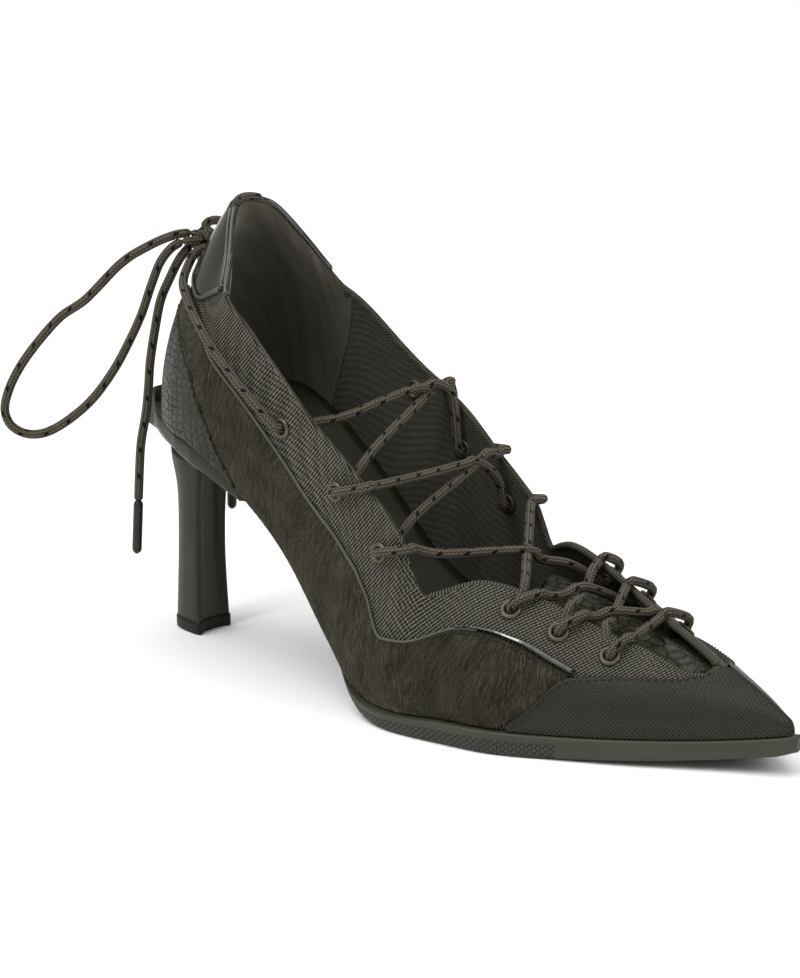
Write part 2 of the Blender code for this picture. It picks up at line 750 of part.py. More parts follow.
# Heel column, from the top lift up, as shares: height of SEAT_HEIGHT, back and front of LENGTH, half width of
# BALL_WIDTH, depth of the hollow in the front face of LENGTH
HEEL_ROWS = (
    (0.0, -0.0221, 0.0408, 0.097, 0.0068),
    (0.163, -0.0195, 0.0391, 0.092, 0.0068),
    (0.340, -0.0161, 0.0382, 0.088, 0.0076),
    (0.517, -0.0140, 0.0400, 0.088, 0.0093),
    (0.653, -0.0144, 0.0433, 0.092, 0.0110),
    (None, -0.0255, 0.0501, 0.105, 0.0127),
)
HEEL_SHOULDER = 4  # the ring's point where the sides end and the hollow front begins


def heel_ring(shares, grow=0.0):
    """Plan of the heel: a rounded wedge with a hollow front. It may be grown on all sides."""
    back, front, half, hollow = (k * size for k, size in zip(shares, (LENGTH, LENGTH, BALL_WIDTH, LENGTH)))
    back, front, half = back - grow, front + grow, half + grow
    reach = front - back
    side = [(0.0, 0.0), (0.03, 0.28), (0.12, 0.55), (0.38, 0.80), (0.70, 0.95), (0.94, 1.0), (1.0, 0.92)]
    right = [(back + reach * a, half * b) for a, b in side]
    left = [(x, -y) for x, y in reversed(right)]
    return right + [(front - hollow, 0.45 * half), (front - hollow, -0.45 * half)] + left


def build_heel():
    """A slim heel between the top lift and the seat's keel."""
    points, faces = [], []
    for height, *shares in HEEL_ROWS:
        ring = []
        for x, y in heel_ring(shares):
            z = seat_bottom(x, y) - GAP if height is None else max(height * SEAT_HEIGHT, LIFT_HEIGHT + GAP)
            ring.append((x, y, z))
        points.append(ring)
    n = len(points[0])
    flat = [p for ring in points for p in ring]
    for i in range(len(points) - 1):
        for j in range(n):
            k = (j + 1) % n
            faces.append([i * n + j, (i + 1) * n + j, (i + 1) * n + k, i * n + k])
    faces.append(list(range(n)))
    top = (len(points) - 1) * n
    across = (1.0, 0.5, 0.0, -0.5, -1.0)
    grid = []
    for j in range(HEEL_SHOULDER + 1):
        x, y, z = flat[top + j]
        grid.append([len(flat) + k for k in range(len(across))])
        flat += [(x, y * k, seat_bottom(x, y * k) - GAP) for k in across]
    for a, b in zip(grid, grid[1:]):
        faces += [[a[k], a[k + 1], b[k + 1], b[k]] for k in range(len(across) - 1)]
    back = grid[-1]
    right = [top + j for j in range(HEEL_SHOULDER + 1, n // 2)]
    left = [top + n - 1 - j for j in range(HEEL_SHOULDER + 1, n // 2)]
    faces.append([back[0], *right, back[1]])
    faces.append([back[1], right[-1], left[-1], back[3], back[2]])
    faces.append([back[3], left[-1], *reversed(left[:-1]), back[4]])
    add_mesh("heel", flat, faces, merge=1e-6)

    lift = heel_ring(HEEL_ROWS[0][1:], grow=0.0002)
    flat = [(x, y, z) for z in (0.0, LIFT_HEIGHT) for x, y in lift]
    faces = [[j, (j + 1) % n, n + (j + 1) % n, n + j] for j in range(n)]
    faces += [list(range(n)), list(range(n, 2 * n))]
    add_mesh("top_lift", flat, faces, merge=1e-6)


def unit(vector):
    return vector / np.linalg.norm(vector)


def flow(points, step):
    """Points on a smooth Catmull-Rom curve through the given points, about a step apart."""
    points = [np.array(p, float) for p in points]
    ends = [2 * points[0] - points[1], *points, 2 * points[-1] - points[-2]]
    made = [points[0]]
    for a, b, c, d in zip(ends, ends[1:], ends[2:], ends[3:]):
        count = max(1, round(np.linalg.norm(c - b) / step))
        for i in range(1, count + 1):
            s = i / count
            made.append(b + 0.5 * s * (c - a + s * (2 * a - 5 * b + 4 * c - d + s * (3 * (b - c) + d - a))))
    return made


def tube(name, path, radius, sides=6):
    """A closed tube along a path, its ring carried along without twist."""
    runs = [unit(b - a) for a, b in zip(path, path[1:])]
    turns = [runs[0]] + [unit(a + b) for a, b in zip(runs, runs[1:])] + [runs[-1]]
    across = unit(np.cross(turns[0], (0.3, 0.2, 0.9)))
    points, faces = [], []
    for spot, along in zip(path, turns):
        across = unit(across - along * np.dot(across, along))
        other = np.cross(along, across)
        for i in range(sides):
            angle = 2 * math.pi * (i + 0.5) / sides
            points.append(spot + radius * (math.cos(angle) * across + math.sin(angle) * other))
    for ring in range(len(path) - 1):
        for i in range(sides):
            a, b = ring * sides + i, ring * sides + (i + 1) % sides
            faces.append([a, b, b + sides, a + sides])
    last = (len(path) - 1) * sides
    faces += [list(range(sides)), list(range(last, last + sides))]
    return add_mesh(name, points, faces, merge=1e-6)


LACE_CLEAR = LACE / 2 + GAP + 0.0002


def under_eyelet(side, number):
    """Middle of a lace that starts just inside an eyelet."""
    spots = LATERAL_EYELETS if side < 0 else MEDIAL_EYELETS
    return skin(side, *spots[number - 1], -(WALL + BARREL_END + GAP + LACE / 2))


def over_eyelet(side, number, start):
    """A lace's way from a point near the top edge to just outside an eyelet, clear of its flange."""
    spot = (LATERAL_EYELETS if side < 0 else MEDIAL_EYELETS)[number - 1]
    height = EYELET_RISE + GAP + LACE / 2 + 0.0003
    hole = skin(side, *spot, height)
    normal = last_normal(side, *spot)
    back = start - hole
    back = unit(back - normal * np.dot(back, normal))
    return [hole + (EYELET_RADIUS + 0.0002) * back + 0.0001 * normal, hole]


def beside_edge(side, place, out, rise):
    """Point near the upper's top edge: a distance out from its outside and a distance above the edge."""
    edge, before, after = (last_point(side, p, top_line(side, p)) for p in (place, place - 0.06, place + 0.06))
    normal = last_normal(side, place, top_line(side, place))
    upward = unit(np.cross(after - before, normal)) * side
    return edge + out * normal + rise * upward


def in_slot(side, place):
    """Start of a lace that comes out from under the slot's edge, over the tongue."""
    return beside_edge(side, place, -0.0004, LACE_CLEAR)


def over_edge(side, place):
    """A lace's way over the upper's edge, from the inside to the outside."""
    slant = LACE_CLEAR * math.sqrt(0.5)
    first = (-WALL - slant, slant) if place < SLOT_START else (-0.0010, LACE_CLEAR + 0.0001)
    way = (first, (-WALL / 2 + 0.0004, LACE_CLEAR + 0.0001), (slant, slant), (LACE_CLEAR, 0.0))
    return [beside_edge(side, place, out, rise) for out, rise in way]


# Strands that cross in pairs, the upper one first. A strand goes from the inside of one side to the outside of
# the other: where it starts, its rises above the straight line as shares and metres, where it passes over the
# edge, and the eyelet that it enters. A start is an eyelet's number, or the place where it leaves the slot's edge.
CROSSINGS = (
    (
        (MEDIAL, 2, ((0.015, 0.0120), (0.04, 0.0185), (0.13, 0.0207), (0.25, 0.0180), (0.47, 0.0117), (0.70, 0.0050)),
         None, 1),
        (LATERAL, 2, ((0.30, 0.0029), (0.80, 0.0020)), 6.45, None),
    ),
    (
        (MEDIAL, 3, ((0.02, 0.0062), (0.06, 0.0094), (0.15, 0.0122), (0.26, 0.0121), (0.60, 0.0062)), 7.65, 2),
        (LATERAL, 3, ((0.25, 0.0036), (0.90, 0.0032)), 7.75, 2),
    ),
    (
        (MEDIAL, 4, ((0.18, 0.0042), (0.34, 0.0042), (0.85, 0.0)), 8.77, 3),
        (LATERAL, 10.70, ((0.35, 0.0), (0.70, 0.0)), 8.70, 3),
    ),
    (
        (MEDIAL, 5, ((0.22, 0.0024), (0.80, 0.0009)), 10.95, 4),
        (LATERAL, 11.36, ((0.75, 0.0005),), 10.80, 4),
    ),
    (
        (MEDIAL, 12.22, ((0.16, 0.0), (0.84, 0.0)), 11.62, 5),
        (LATERAL, 12.00, ((0.80, 0.0),), 11.48, 5),
    ),
)
CROSSING_OVERLAP = 0.0004


def strand_ends(strand):
    side, start, rises, edge, target = strand
    first = under_eyelet(side, start) if isinstance(start, int) else in_slot(side, start)
    if edge is None:
        return first, [under_eyelet(-side, target)]
    way = over_edge(-side, edge)
    return first, way[:3] + over_eyelet(-side, target, way[2]) if target else way


def crossing_point(over, under):
    """Where two strands cross in plan, at the mean of their heights there."""
    (a, b), (c, d) = (((first), way[0]) for first, way in (strand_ends(over), strand_ends(under)))
    along, other = (b - a)[:2], (d - c)[:2]
    s, t = np.linalg.solve(np.array([along, -other]).T, (c - a)[:2])
    heights = []
    for strand, share, low, high in ((over, s, a, b), (under, t, c, d)):
        rises = [(0.0, 0.0), *strand[2], (1.0, 0.0)]
        lift = np.interp(share, [r[0] for r in rises], [r[1] for r in rises])
        heights.append(low[2] + share * (high[2] - low[2]) + lift)
    return s, t, np.array([*(a[:2] + s * along), sum(heights) / 2])


def strand_path(strand, share, middle):
    first, way = strand_ends(strand)
    points = [first]
    placed = False
    for at, lift in strand[2]:
        if at > share and not placed:
            points.append(middle)
            placed = True
        points.append(first + at * (way[0] - first) + np.array([0.0, 0.0, lift]))
    if not placed:
        points.append(middle)
    return flow(points + way, LACE_STEP)


def join(keep, added):
    """Fuse one body into another."""
    fuse = keep.modifiers.new("joined", "BOOLEAN")
    fuse.operation = "UNION"
    fuse.solver = "EXACT"
    fuse.object = added
    bpy.context.view_layer.update()
    done = bpy.data.meshes.new_from_object(keep.evaluated_get(bpy.context.evaluated_depsgraph_get()))
    keep.modifiers.clear()
    keep.data = done
    bpy.data.objects.remove(added)


def build_lacing():
    """Each pair of strands that cross is one body, and the front bar is another."""
    apart = np.array([0.0, 0.0, (LACE - CROSSING_OVERLAP) / 2])
    for number, (over, under) in enumerate(CROSSINGS, 1):
        s, t, middle = crossing_point(over, under)
        upper = tube(f"lace_crossing_{number}", strand_path(over, s, middle + apart), LACE / 2)
        lower = tube("lower_strand", strand_path(under, t, middle - apart), LACE / 2)
        join(upper, lower)
    ways = [over_edge(side, place)[:3] for side, place in ((LATERAL, 12.45), (MEDIAL, 12.35))]
    ends = [over_eyelet(side, 6, way[2]) for side, way in zip((LATERAL, MEDIAL), ways)]
    bar = [*ends[0][::-1], *ways[0][:0:-1], *ways[1][1:], *ends[1]]
    tube("lace_bar", flow(bar, LACE_STEP), LACE / 2)


# Runs of the lace back along the collar, in places and heights on the last, from the front to the knot
RUNS = {
    "lateral": (LATERAL, ((5.30, 0.718), (5.10, 0.707), (4.69, 0.715), (4.24, 0.731), (3.57, 0.704),
                          (2.79, 0.655), (2.00, 0.640), (1.30, 0.672), (0.90, 0.715))),
    "medial": (MEDIAL, ((6.42, 0.925), (6.15, 0.850), (5.60, 0.765), (5.10, 0.725), (4.69, 0.717), (4.24, 0.731),
                        (3.57, 0.704), (2.79, 0.655), (2.00, 0.640), (1.30, 0.672), (0.90, 0.715))),
}
LACE_STEP = 0.0062
RUN_LIFT = OVERLAY + GAP + GAP + LACE / 2


def build_runs():
    for label, (side, spots) in RUNS.items():
        way = [skin(side, *spot, RUN_LIFT + 0.0002) for spot in spots]
        if side == LATERAL:
            way = over_eyelet(LATERAL, 1, way[0])[::-1] + way
        tube(f"lace_run_{label}", flow(way, LACE_STEP), LACE / 2)


# The bow behind the heel, in metres from the back of the upper: points chosen by hand, from the knot outward
KNOT = ((0.0104, 0.0, 0.1276), (0.0036, 0.0058, 0.0042))  # middle and half sizes
LOOP_LATERAL = (
    (0.0064, -0.0026, 0.1298), (0.0020, -0.0060, 0.1289), (-0.0045, -0.0105, 0.1255), (-0.0120, -0.0155, 0.1198),
    (-0.0223, -0.0213, 0.1080), (-0.0298, -0.0253, 0.1020), (-0.0367, -0.0291, 0.0935), (-0.0422, -0.0321, 0.0851),
    (-0.0457, -0.0340, 0.0775), (-0.0471, -0.0348, 0.0708), (-0.0454, -0.0338, 0.0658), (-0.0407, -0.0313, 0.0633),
    (-0.0348, -0.0281, 0.0643), (-0.0279, -0.0243, 0.0691), (-0.0211, -0.0206, 0.0761), (-0.0150, -0.0173, 0.0854),
    (-0.0104, -0.0148, 0.0946), (-0.0064, -0.0128, 0.1038), (-0.0033, -0.0114, 0.1129), (-0.0004, -0.0100, 0.1205),
    (0.0028, -0.0082, 0.1252), (0.0060, -0.0062, 0.1276),
)
LOOP_MEDIAL = (
    (0.0060, 0.0030, 0.1304), (0.0056, 0.0080, 0.1318), (0.0060, 0.0170, 0.1290), (0.0080, 0.0270, 0.1215),
    (0.0100, 0.0350, 0.1110), (0.0120, 0.0410, 0.0990), (0.0130, 0.0440, 0.0870), (0.0130, 0.0430, 0.0760),
    (0.0110, 0.0380, 0.0700), (0.0080, 0.0320, 0.0710), (0.0050, 0.0270, 0.0780), (0.0030, 0.0225, 0.0880),
    (0.0020, 0.0190, 0.0990), (0.0030, 0.0155, 0.1090), (0.0042, 0.0120, 0.1180), (0.0060, 0.0085, 0.1245),
    (0.0064, 0.0062, 0.1272),
)
END_LATERAL = (
    (0.0064, -0.0030, 0.1258), (0.0040, -0.0058, 0.1215), (0.0010, -0.0078, 0.1146), (-0.0013, -0.0094, 0.1081),
    (-0.0030, -0.0107, 0.0982), (-0.0044, -0.0117, 0.0884), (-0.0050, -0.0122, 0.0801), (-0.0059, -0.0128, 0.0718),
    (-0.0076, -0.0137, 0.0619), (-0.0085, -0.0140, 0.0518), (-0.0091, -0.0142, 0.0426),
)
END_MEDIAL = (
    (0.0068, 0.0024, 0.1247), (0.0040, 0.0042, 0.1200), (0.0010, 0.0080, 0.1120), (-0.0010, 0.0125, 0.1020),
    (-0.0015, 0.0165, 0.0910), (-0.0015, 0.0192, 0.0800), (-0.0012, 0.0204, 0.0690), (-0.0010, 0.0206, 0.0590),
    (-0.0009, 0.0204, 0.0515),
)
AGLET_LENGTH = 0.0172
AGLET_RADIUS = 0.00155


def cord(name, points):
    """A free stretch of lace: a curve with a round bevel and filled ends."""
    path = flow(points, 0.0068)
    data = bpy.data.curves.new(name, "CURVE")
    data.dimensions = "3D"
    data.bevel_depth = LACE / 2
    data.bevel_resolution = 2
    data.use_fill_caps = True
    route = data.splines.new("POLY")
    route.points.add(len(path) - 1)
    for spot, place in zip(route.points, path):
        spot.co = (*place, 1.0)
    made = bpy.data.objects.new(name, data)
    COLLECTION.objects.link(made)
    return made


def build_bow():
    body = bmesh.new()
    middle, half = KNOT
    place = Matrix.Translation(middle) @ Matrix.Diagonal((*half, 1.0))
    bmesh.ops.create_icosphere(body, subdivisions=2, radius=1.0, matrix=place)
    mesh = bpy.data.meshes.new("knot")
    body.to_mesh(mesh)
    body.free()
    COLLECTION.objects.link(bpy.data.objects.new("knot", mesh))
    cord("loop_lateral", LOOP_LATERAL)
    cord("loop_medial", LOOP_MEDIAL)
    for label, points in (("lateral", END_LATERAL), ("medial", END_MEDIAL)):
        cord(f"end_{label}", points)
        last = np.array(points[-1])
        fall = unit(last - np.array(points[-2]))
        tip = [last + fall * GAP, last + fall * (AGLET_LENGTH - 0.0006), last + fall * AGLET_LENGTH]
        tube(f"aglet_{label}", tip, AGLET_RADIUS, sides=8)


def clear_scene():
    for thing in list(bpy.data.objects):
        bpy.data.objects.remove(thing)


def look_of(name):
    """Name of the material of a piece: the longest listed name that the piece's own name starts with."""
    found = [(len(start), look) for look, row in LOOKS.items() for start in row[3] if name.startswith(start)]
    return max(found)[1]


def paint(made):
    look = look_of(made.name)
    material = bpy.data.materials.get(look) or bpy.data.materials.new(look)
    colour, roughness, metallic, _ = LOOKS[look]
    material.use_nodes = True
    shader = material.node_tree.nodes["Principled BSDF"]
    shader.inputs["Base Color"].default_value = (*colour, 1.0)
    shader.inputs["Roughness"].default_value = roughness
    shader.inputs["Metallic"].default_value = metallic
    made.data.materials.clear()
    made.data.materials.append(material)


def set_in_frame(pieces):
    """Hang all from one empty, so that the row's origin is the bottom centre of the box of the shoe's pieces."""
    corners = np.array([v.co for piece in pieces for v in piece.data.vertices])
    low, high = corners.min(axis=0), corners.max(axis=0)
    frame = bpy.data.objects.new("shoe", None)
    COLLECTION.objects.link(frame)
    frame.location = (-(low[0] + high[0]) / 2, -(low[1] + high[1]) / 2, -low[2])
    for piece in bpy.data.objects:
        if piece is not frame:
            piece.parent = frame


def build():
    clear_scene()
    build_upper()
    build_overlays()
    build_tongue()
    build_insole()
    build_sole()
    build_heel_seat()
    build_heel()
    for label, side, spots in (("lateral", LATERAL, LATERAL_EYELETS), ("medial", MEDIAL, MEDIAL_EYELETS)):
        for number, spot in enumerate(spots, 1):
            build_eyelet(f"eyelet_{label}_{number}", side, spot)
    shoe = list(bpy.data.objects)
    build_lacing()
    build_runs()
    build_bow()
    for piece in bpy.data.objects:
        paint(piece)
    set_in_frame(shoe)


build()
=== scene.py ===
"""Dresses the lace-up heel: its leathers, weave, hair, braided lace, lights, floor and camera.

Metres, in the part's frame. The pieces of the upper follow one function, last_point, which stands for the
maker's last, as the part's own solids do. Patterns are measured in millimetres along each piece.
"""

import functools
import math

import bmesh
import bpy
import numpy as np
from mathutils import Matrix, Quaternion, Vector


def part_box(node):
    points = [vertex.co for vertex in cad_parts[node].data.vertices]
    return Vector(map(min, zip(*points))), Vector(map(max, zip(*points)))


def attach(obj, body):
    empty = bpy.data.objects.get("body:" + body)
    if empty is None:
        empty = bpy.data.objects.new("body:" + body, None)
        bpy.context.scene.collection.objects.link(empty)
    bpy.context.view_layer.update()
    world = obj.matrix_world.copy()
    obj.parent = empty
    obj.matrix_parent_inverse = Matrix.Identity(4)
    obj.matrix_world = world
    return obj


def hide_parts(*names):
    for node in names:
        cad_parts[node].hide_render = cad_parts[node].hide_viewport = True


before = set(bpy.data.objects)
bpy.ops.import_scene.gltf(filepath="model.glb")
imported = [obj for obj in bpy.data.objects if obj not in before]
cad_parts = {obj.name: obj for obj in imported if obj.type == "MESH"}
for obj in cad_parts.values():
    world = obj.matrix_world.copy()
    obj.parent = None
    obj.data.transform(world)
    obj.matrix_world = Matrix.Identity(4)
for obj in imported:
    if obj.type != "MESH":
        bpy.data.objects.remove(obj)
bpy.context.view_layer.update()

# Driving sizes, the same as the part's
LENGTH = 0.2354
BALL_WIDTH = 0.076
SEAT_HEIGHT = 0.0735
TOP_HEIGHT = 0.1428
WALL = 0.0018
OVERLAY = 0.0011
GAP = 0.00035
LIFT_HEIGHT = 0.0040
LACE = 0.0029
LATERAL = -1.0
MEDIAL = 1.0
SIDES = (("lateral", LATERAL), ("medial", MEDIAL))
MM = 0.001
OUTSIDE = GAP + OVERLAY  # from the upper to the outside of a piece that is sewn on it
SEATED = 0.0001  # from the upper to the back of such a piece
LOWEST = 0.004  # height on the last at which such a piece starts

# The last. A row is one section, from the back of the heel to the toe tip. Lengths along and half widths
# are shares of LENGTH and BALL_WIDTH. Edge and top heights are shares of SEAT_HEIGHT and of TOP_HEIGHT.
# Flare is the wall's angle outward at its lower edge, and roll its angle inward at its top, in degrees.
SECTIONS = np.array((
    # along, lateral, medial, edge, top along, top lateral, top medial, top, flare, roll
    (0.000, 0.000, 0.000, 1.000, 0.113, 0.000, 0.000, 1.000, 0, 34),
    (0.008, 0.112, 0.112, 0.997, 0.119, 0.068, 0.068, 0.996, 1, 33),
    (0.028, 0.214, 0.214, 0.988, 0.134, 0.126, 0.126, 0.980, 2, 32),
    (0.066, 0.293, 0.293, 0.969, 0.153, 0.204, 0.204, 0.921, 4, 30),
    (0.117, 0.329, 0.329, 0.928, 0.175, 0.316, 0.316, 0.833, 7, 18),
    (0.185, 0.329, 0.329, 0.803, 0.226, 0.353, 0.353, 0.770, 9, 8),
    (0.270, 0.322, 0.316, 0.565, 0.317, 0.374, 0.374, 0.641, 9, 6),
    (0.355, 0.355, 0.329, 0.245, 0.395, 0.392, 0.392, 0.546, 9, 7),
    (0.423, 0.434, 0.382, 0.098, 0.457, 0.401, 0.401, 0.459, 9, 7),
    (0.500, 0.500, 0.447, 0.076, 0.519, 0.388, 0.382, 0.378, 6, 14),
    (0.585, 0.500, 0.500, 0.095, 0.585, 0.105, 0.145, 0.410, 4, 52),
    (0.661, 0.480, 0.493, 0.101, 0.661, -0.020, 0.053, 0.357, 5, 70),
    (0.737, 0.382, 0.441, 0.102, 0.737, -0.033, 0.033, 0.294, 6, 69),
    (0.814, 0.276, 0.342, 0.112, 0.814, -0.029, 0.029, 0.245, 6, 66),
    (0.886, 0.158, 0.230, 0.125, 0.886, -0.020, 0.020, 0.199, 5, 61),
    (0.950, 0.061, 0.116, 0.147, 0.947, -0.008, 0.008, 0.155, 4, 58),
    (1.000, 0.000, 0.000, 0.174, 0.995, 0.000, 0.000, 0.112, 0, 55),
), float)
TIP = len(SECTIONS) - 1.0
EVEN_AT_BACK = np.isin(np.arange(10), (0, 3, 4, 7, 8, 9))

# Lines on the last: place along a side in rows of SECTIONS, then height from 0 at the edge to 1 at the top
TOP_LINE = (
    # place, lateral, medial
    (0.00, 1.000, 1.000),
    (1.60, 0.992, 0.992),
    (2.50, 0.975, 0.985),
    (3.20, 0.965, 0.980),
    (3.90, 0.975, 0.973),
    (4.35, 0.990, 0.950),
    (5.60, 0.980, 0.985),
    (6.35, 0.962, 1.020),
    (7.00, 0.975, 1.010),
    (7.60, 0.985, 0.985),
    (8.30, 0.995, 0.980),
    (8.65, 0.995, 0.977),
    (8.80, 0.950, 0.945),
    (8.95, 0.875, 0.880),
    (9.12, 0.775, 0.800),
    (9.24, 0.714, 0.745),
    (9.40, 0.700, 0.725),
    (9.85, 0.687, 0.715),
    (10.30, 0.688, 0.720),
    (10.87, 0.690, 0.723),
    (11.15, 0.678, 0.725),
    (12.05, 0.690, 0.750),
    (12.75, 0.706, 0.785),
    (13.00, 0.697, 0.802),
    (13.30, 0.676, 0.826),
    (13.60, 0.680, 0.864),
    (13.87, 0.757, 0.910),
    (14.01, 0.880, 0.964),
    (14.10, 1.000, 1.000),
    (16.00, 1.000, 1.000),
)
HAIR_TOP = (
    (1.50, 0.598),
    (3.63, 0.656),
    (4.74, 0.593),
    (5.76, 0.570),
    (6.31, 0.562),
    (7.08, 0.610),
    (7.75, 0.600),
    (8.22, 0.531),
    (8.50, 0.427),
    (8.61, 0.403),
    (8.96, 0.432),
    (10.00, 0.443),
    (10.70, 0.444),
    (11.08, 0.427),
    (11.49, 0.395),
    (11.98, 0.366),
)
COUNTER_TOP = (
    (0.00, 0.560),
    (1.60, 0.535),
    (2.60, 0.500),
    (3.67, 0.432),
    (4.07, 0.346),
    (4.42, 0.240),
    (4.70, 0.130),
    (5.10, 0.020),
)
TAB_LOW = (
    (0.00, 0.690),
    (1.36, 0.677),
    (2.16, 0.665),
    (2.68, 0.675),
    (2.93, 0.711),
    (3.12, 0.764),
    (3.37, 0.845),
    (3.80, 0.965),
)
CAP_TOP = (
    (11.12, 0.010),
    (11.43, 0.089),
    (11.66, 0.200),
    (11.83, 0.325),
    (11.98, 0.366),
    (12.37, 0.418),
    (12.92, 0.499),
    (13.26, 0.548),
    (13.58, 0.623),
    (13.87, 0.760),
    (14.02, 0.859),
    (14.10, 0.960),
    (14.16, 1.000),
)
ARCH = (
    (2.0, 0.0),
    (3.0, 0.068),
    (4.0, 0.116),
    (5.0, 0.129),
    (6.0, 0.136),
    (7.0, 0.163),
    (8.0, 0.177),
    (9.0, 0.163),
    (10.0, 0.109),
    (11.0, 0.041),
    (12.0, 0.0),
)
SLOT_START = 10.5
SLOT_END = 14.10
LINING_SEAM = 4.65  # the place where the suede at the back meets the ribbed lining

LATERAL_EYELETS = (
    (5.76, 0.728), (6.93, 0.799), (8.17, 0.794), (10.71, 0.588), (11.43, 0.562), (12.33, 0.565),
)
MEDIAL_EYELETS = (
    (5.91, 0.820), (6.87, 0.793), (8.02, 0.784), (10.71, 0.570), (11.43, 0.545), (12.33, 0.540),
)
EYELET_RADIUS = 0.0033
EYELET_BORE = 0.0017
HOLE_RADIUS = 0.0024

KNOT = (0.0104, 0.0, 0.1276)  # the knot's middle, from the back of the upper
KNOT_LOW, KNOT_HIGH = (np.array(corner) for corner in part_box("knot"))
ORIGIN = 0.5 * (KNOT_LOW + KNOT_HIGH) - np.array(KNOT)

COLLECTION = bpy.context.scene.collection
RANDOM = np.random.default_rng(11)


def columns_at(place):
    """Every column of SECTIONS at some places, on Catmull-Rom curves."""
    row = np.clip(np.floor(place).astype(int), 0, len(SECTIONS) - 2)
    s = (place - row)[..., None]
    before = np.where(EVEN_AT_BACK, SECTIONS[1], 2 * SECTIONS[0] - SECTIONS[1])
    padded = np.vstack([before, SECTIONS, 2 * SECTIONS[-1] - SECTIONS[-2]])
    a, b, c, d = (padded[row + k] for k in range(4))
    return b + 0.5 * s * (c - a + s * (2 * a - 5 * b + 4 * c - d + s * (3 * (b - c) + d - a)))


def section(side, place):
    """Lower edge, top, flare and roll of the last at places along its sides."""
    side, place = np.broadcast_arrays(np.asarray(side, float), np.asarray(place, float))
    v = columns_at(place)
    half = np.where(side < 0, v[..., 1], v[..., 2])
    top_half = np.where(side < 0, v[..., 5], v[..., 6])
    low = np.stack([v[..., 0] * LENGTH, side * half * BALL_WIDTH, v[..., 3] * SEAT_HEIGHT], -1)
    high = np.stack([v[..., 4] * LENGTH, side * top_half * BALL_WIDTH, v[..., 7] * TOP_HEIGHT], -1)
    return low + ORIGIN, high + ORIGIN, np.radians(v[..., 8]), np.radians(v[..., 9])


def outward(side, place):
    """Level unit vectors that point out of the shoe at the lower edge."""
    side, place = np.broadcast_arrays(np.asarray(side, float), np.asarray(place, float))
    step = 0.02
    near = np.clip(place - step, 0.0, TIP - 2 * step)
    run = section(side, near + 2 * step)[0] - section(side, near)[0]
    normal = np.stack([-run[..., 1], run[..., 0], 0.0 * run[..., 0]], -1) * side[..., None]
    normal /= np.linalg.norm(normal, axis=-1, keepdims=True)
    normal = np.where((place < step)[..., None], (-1.0, 0.0, 0.0), normal)
    return np.where((place > TIP - 0.001)[..., None], (1.0, 0.0, 0.0), normal)


def last_point(side, place, height):
    """Points of the last: place along one side, in rows, and height from 0 at the edge to 1 at the top."""
    low, high, flare, roll = section(side, place)
    out = outward(side, place)
    up = np.array([0.0, 0.0, 1.0])
    handle = 0.36 * np.linalg.norm(high - low, axis=-1, keepdims=True)
    flare, roll = flare[..., None], roll[..., None]
    first = low + handle * (np.cos(flare) * up + np.sin(flare) * out)
    second = high + handle * (np.sin(roll) * out - np.cos(roll) * up)
    h = np.asarray(height, float)[..., None]
    k = 1.0 - h
    return k**3 * low + 3 * k * k * h * first + 3 * k * h * h * second + h**3 * high


def last_normal(side, place, height):
    """Unit normals of the last, out of the shoe."""
    side, place, height = np.broadcast_arrays(*(np.asarray(v, float) for v in (side, place, height)))
    near = np.maximum(place - 0.05, 0.0)
    along = last_point(side, place + 0.05, height) - last_point(side, near, height)
    zero = 0.0 * side
    along = np.where((place < 0.001)[..., None], np.stack([zero, side, zero], -1), along)
    rise = last_point(side, place, height + 0.02) - last_point(side, place, height - 0.02)
    normal = np.cross(rise, along) * side[..., None]
    slope = last_point(side, place + 0.05, 1.0 + zero) - last_point(side, place - 0.05, 1.0 + zero)
    ridge = np.stack([-slope[..., 2], zero, slope[..., 0]], -1)
    normal = np.where(((height > 0.999) & (place > SLOT_END - 0.001))[..., None], ridge, normal)
    normal = np.where((place > TIP - 0.001)[..., None], (0.94, 0.0, 0.34), normal)
    return normal / np.linalg.norm(normal, axis=-1, keepdims=True)


def skin(side, place, height, offset):
    """Points at a distance outside the last, or inside it where offset is negative."""
    away = np.asarray(offset)[..., None] * last_normal(side, place, height)
    return last_point(side, place, height) + away


def line(table, place):
    """Height of a line on the last at some places, with its corners eased."""
    rows = np.array(table, float)
    place = np.asarray(place)
    near = [np.interp(place + shift, rows[:, 0], rows[:, 1]) for shift in (-0.09, 0.0, 0.09)]
    return 0.25 * near[0] + 0.5 * near[1] + 0.25 * near[2]


def top_line(side, place):
    rows = np.array(TOP_LINE, float)
    lateral, medial = (np.interp(place, rows[:, 0], rows[:, i]) for i in (1, 2))
    return np.where(np.asarray(side) < 0, lateral, medial)


def hair_low(side, place):
    back = np.where(place < 5.08, line(COUNTER_TOP, place) + LOWEST, 0.0)
    front = np.where(place > 11.05, line(CAP_TOP, place) + LOWEST, 0.0)
    return np.maximum(np.maximum(back, front), LOWEST)


def hair_high(side, place):
    return np.maximum(line(HAIR_TOP, place), hair_low(side, place) + 0.01)


def cap_top(side, place):
    top = line(CAP_TOP, place)
    return np.where(place < SLOT_END, np.minimum(top, top_line(side, place) - 0.012), np.minimum(top, 1.0))


def smooth_step(low, high, value):
    t = np.clip((value - low) / (high - low), 0.0, 1.0)
    return t * t * (3 - 2 * t)


def one_side(side, first, last, step):
    count = max(2, round((last - first) / step))
    place = np.linspace(first, last, count + 1)
    return np.full(len(place), side), place


def round_heel(last, step):
    """Stations from a place on the lateral side, round the heel, to the same place on the medial side."""
    side, place = one_side(LATERAL, 0.0, last, step)
    return np.concatenate([side[::-1], -side[1:]]), np.concatenate([place[::-1], place[1:]])


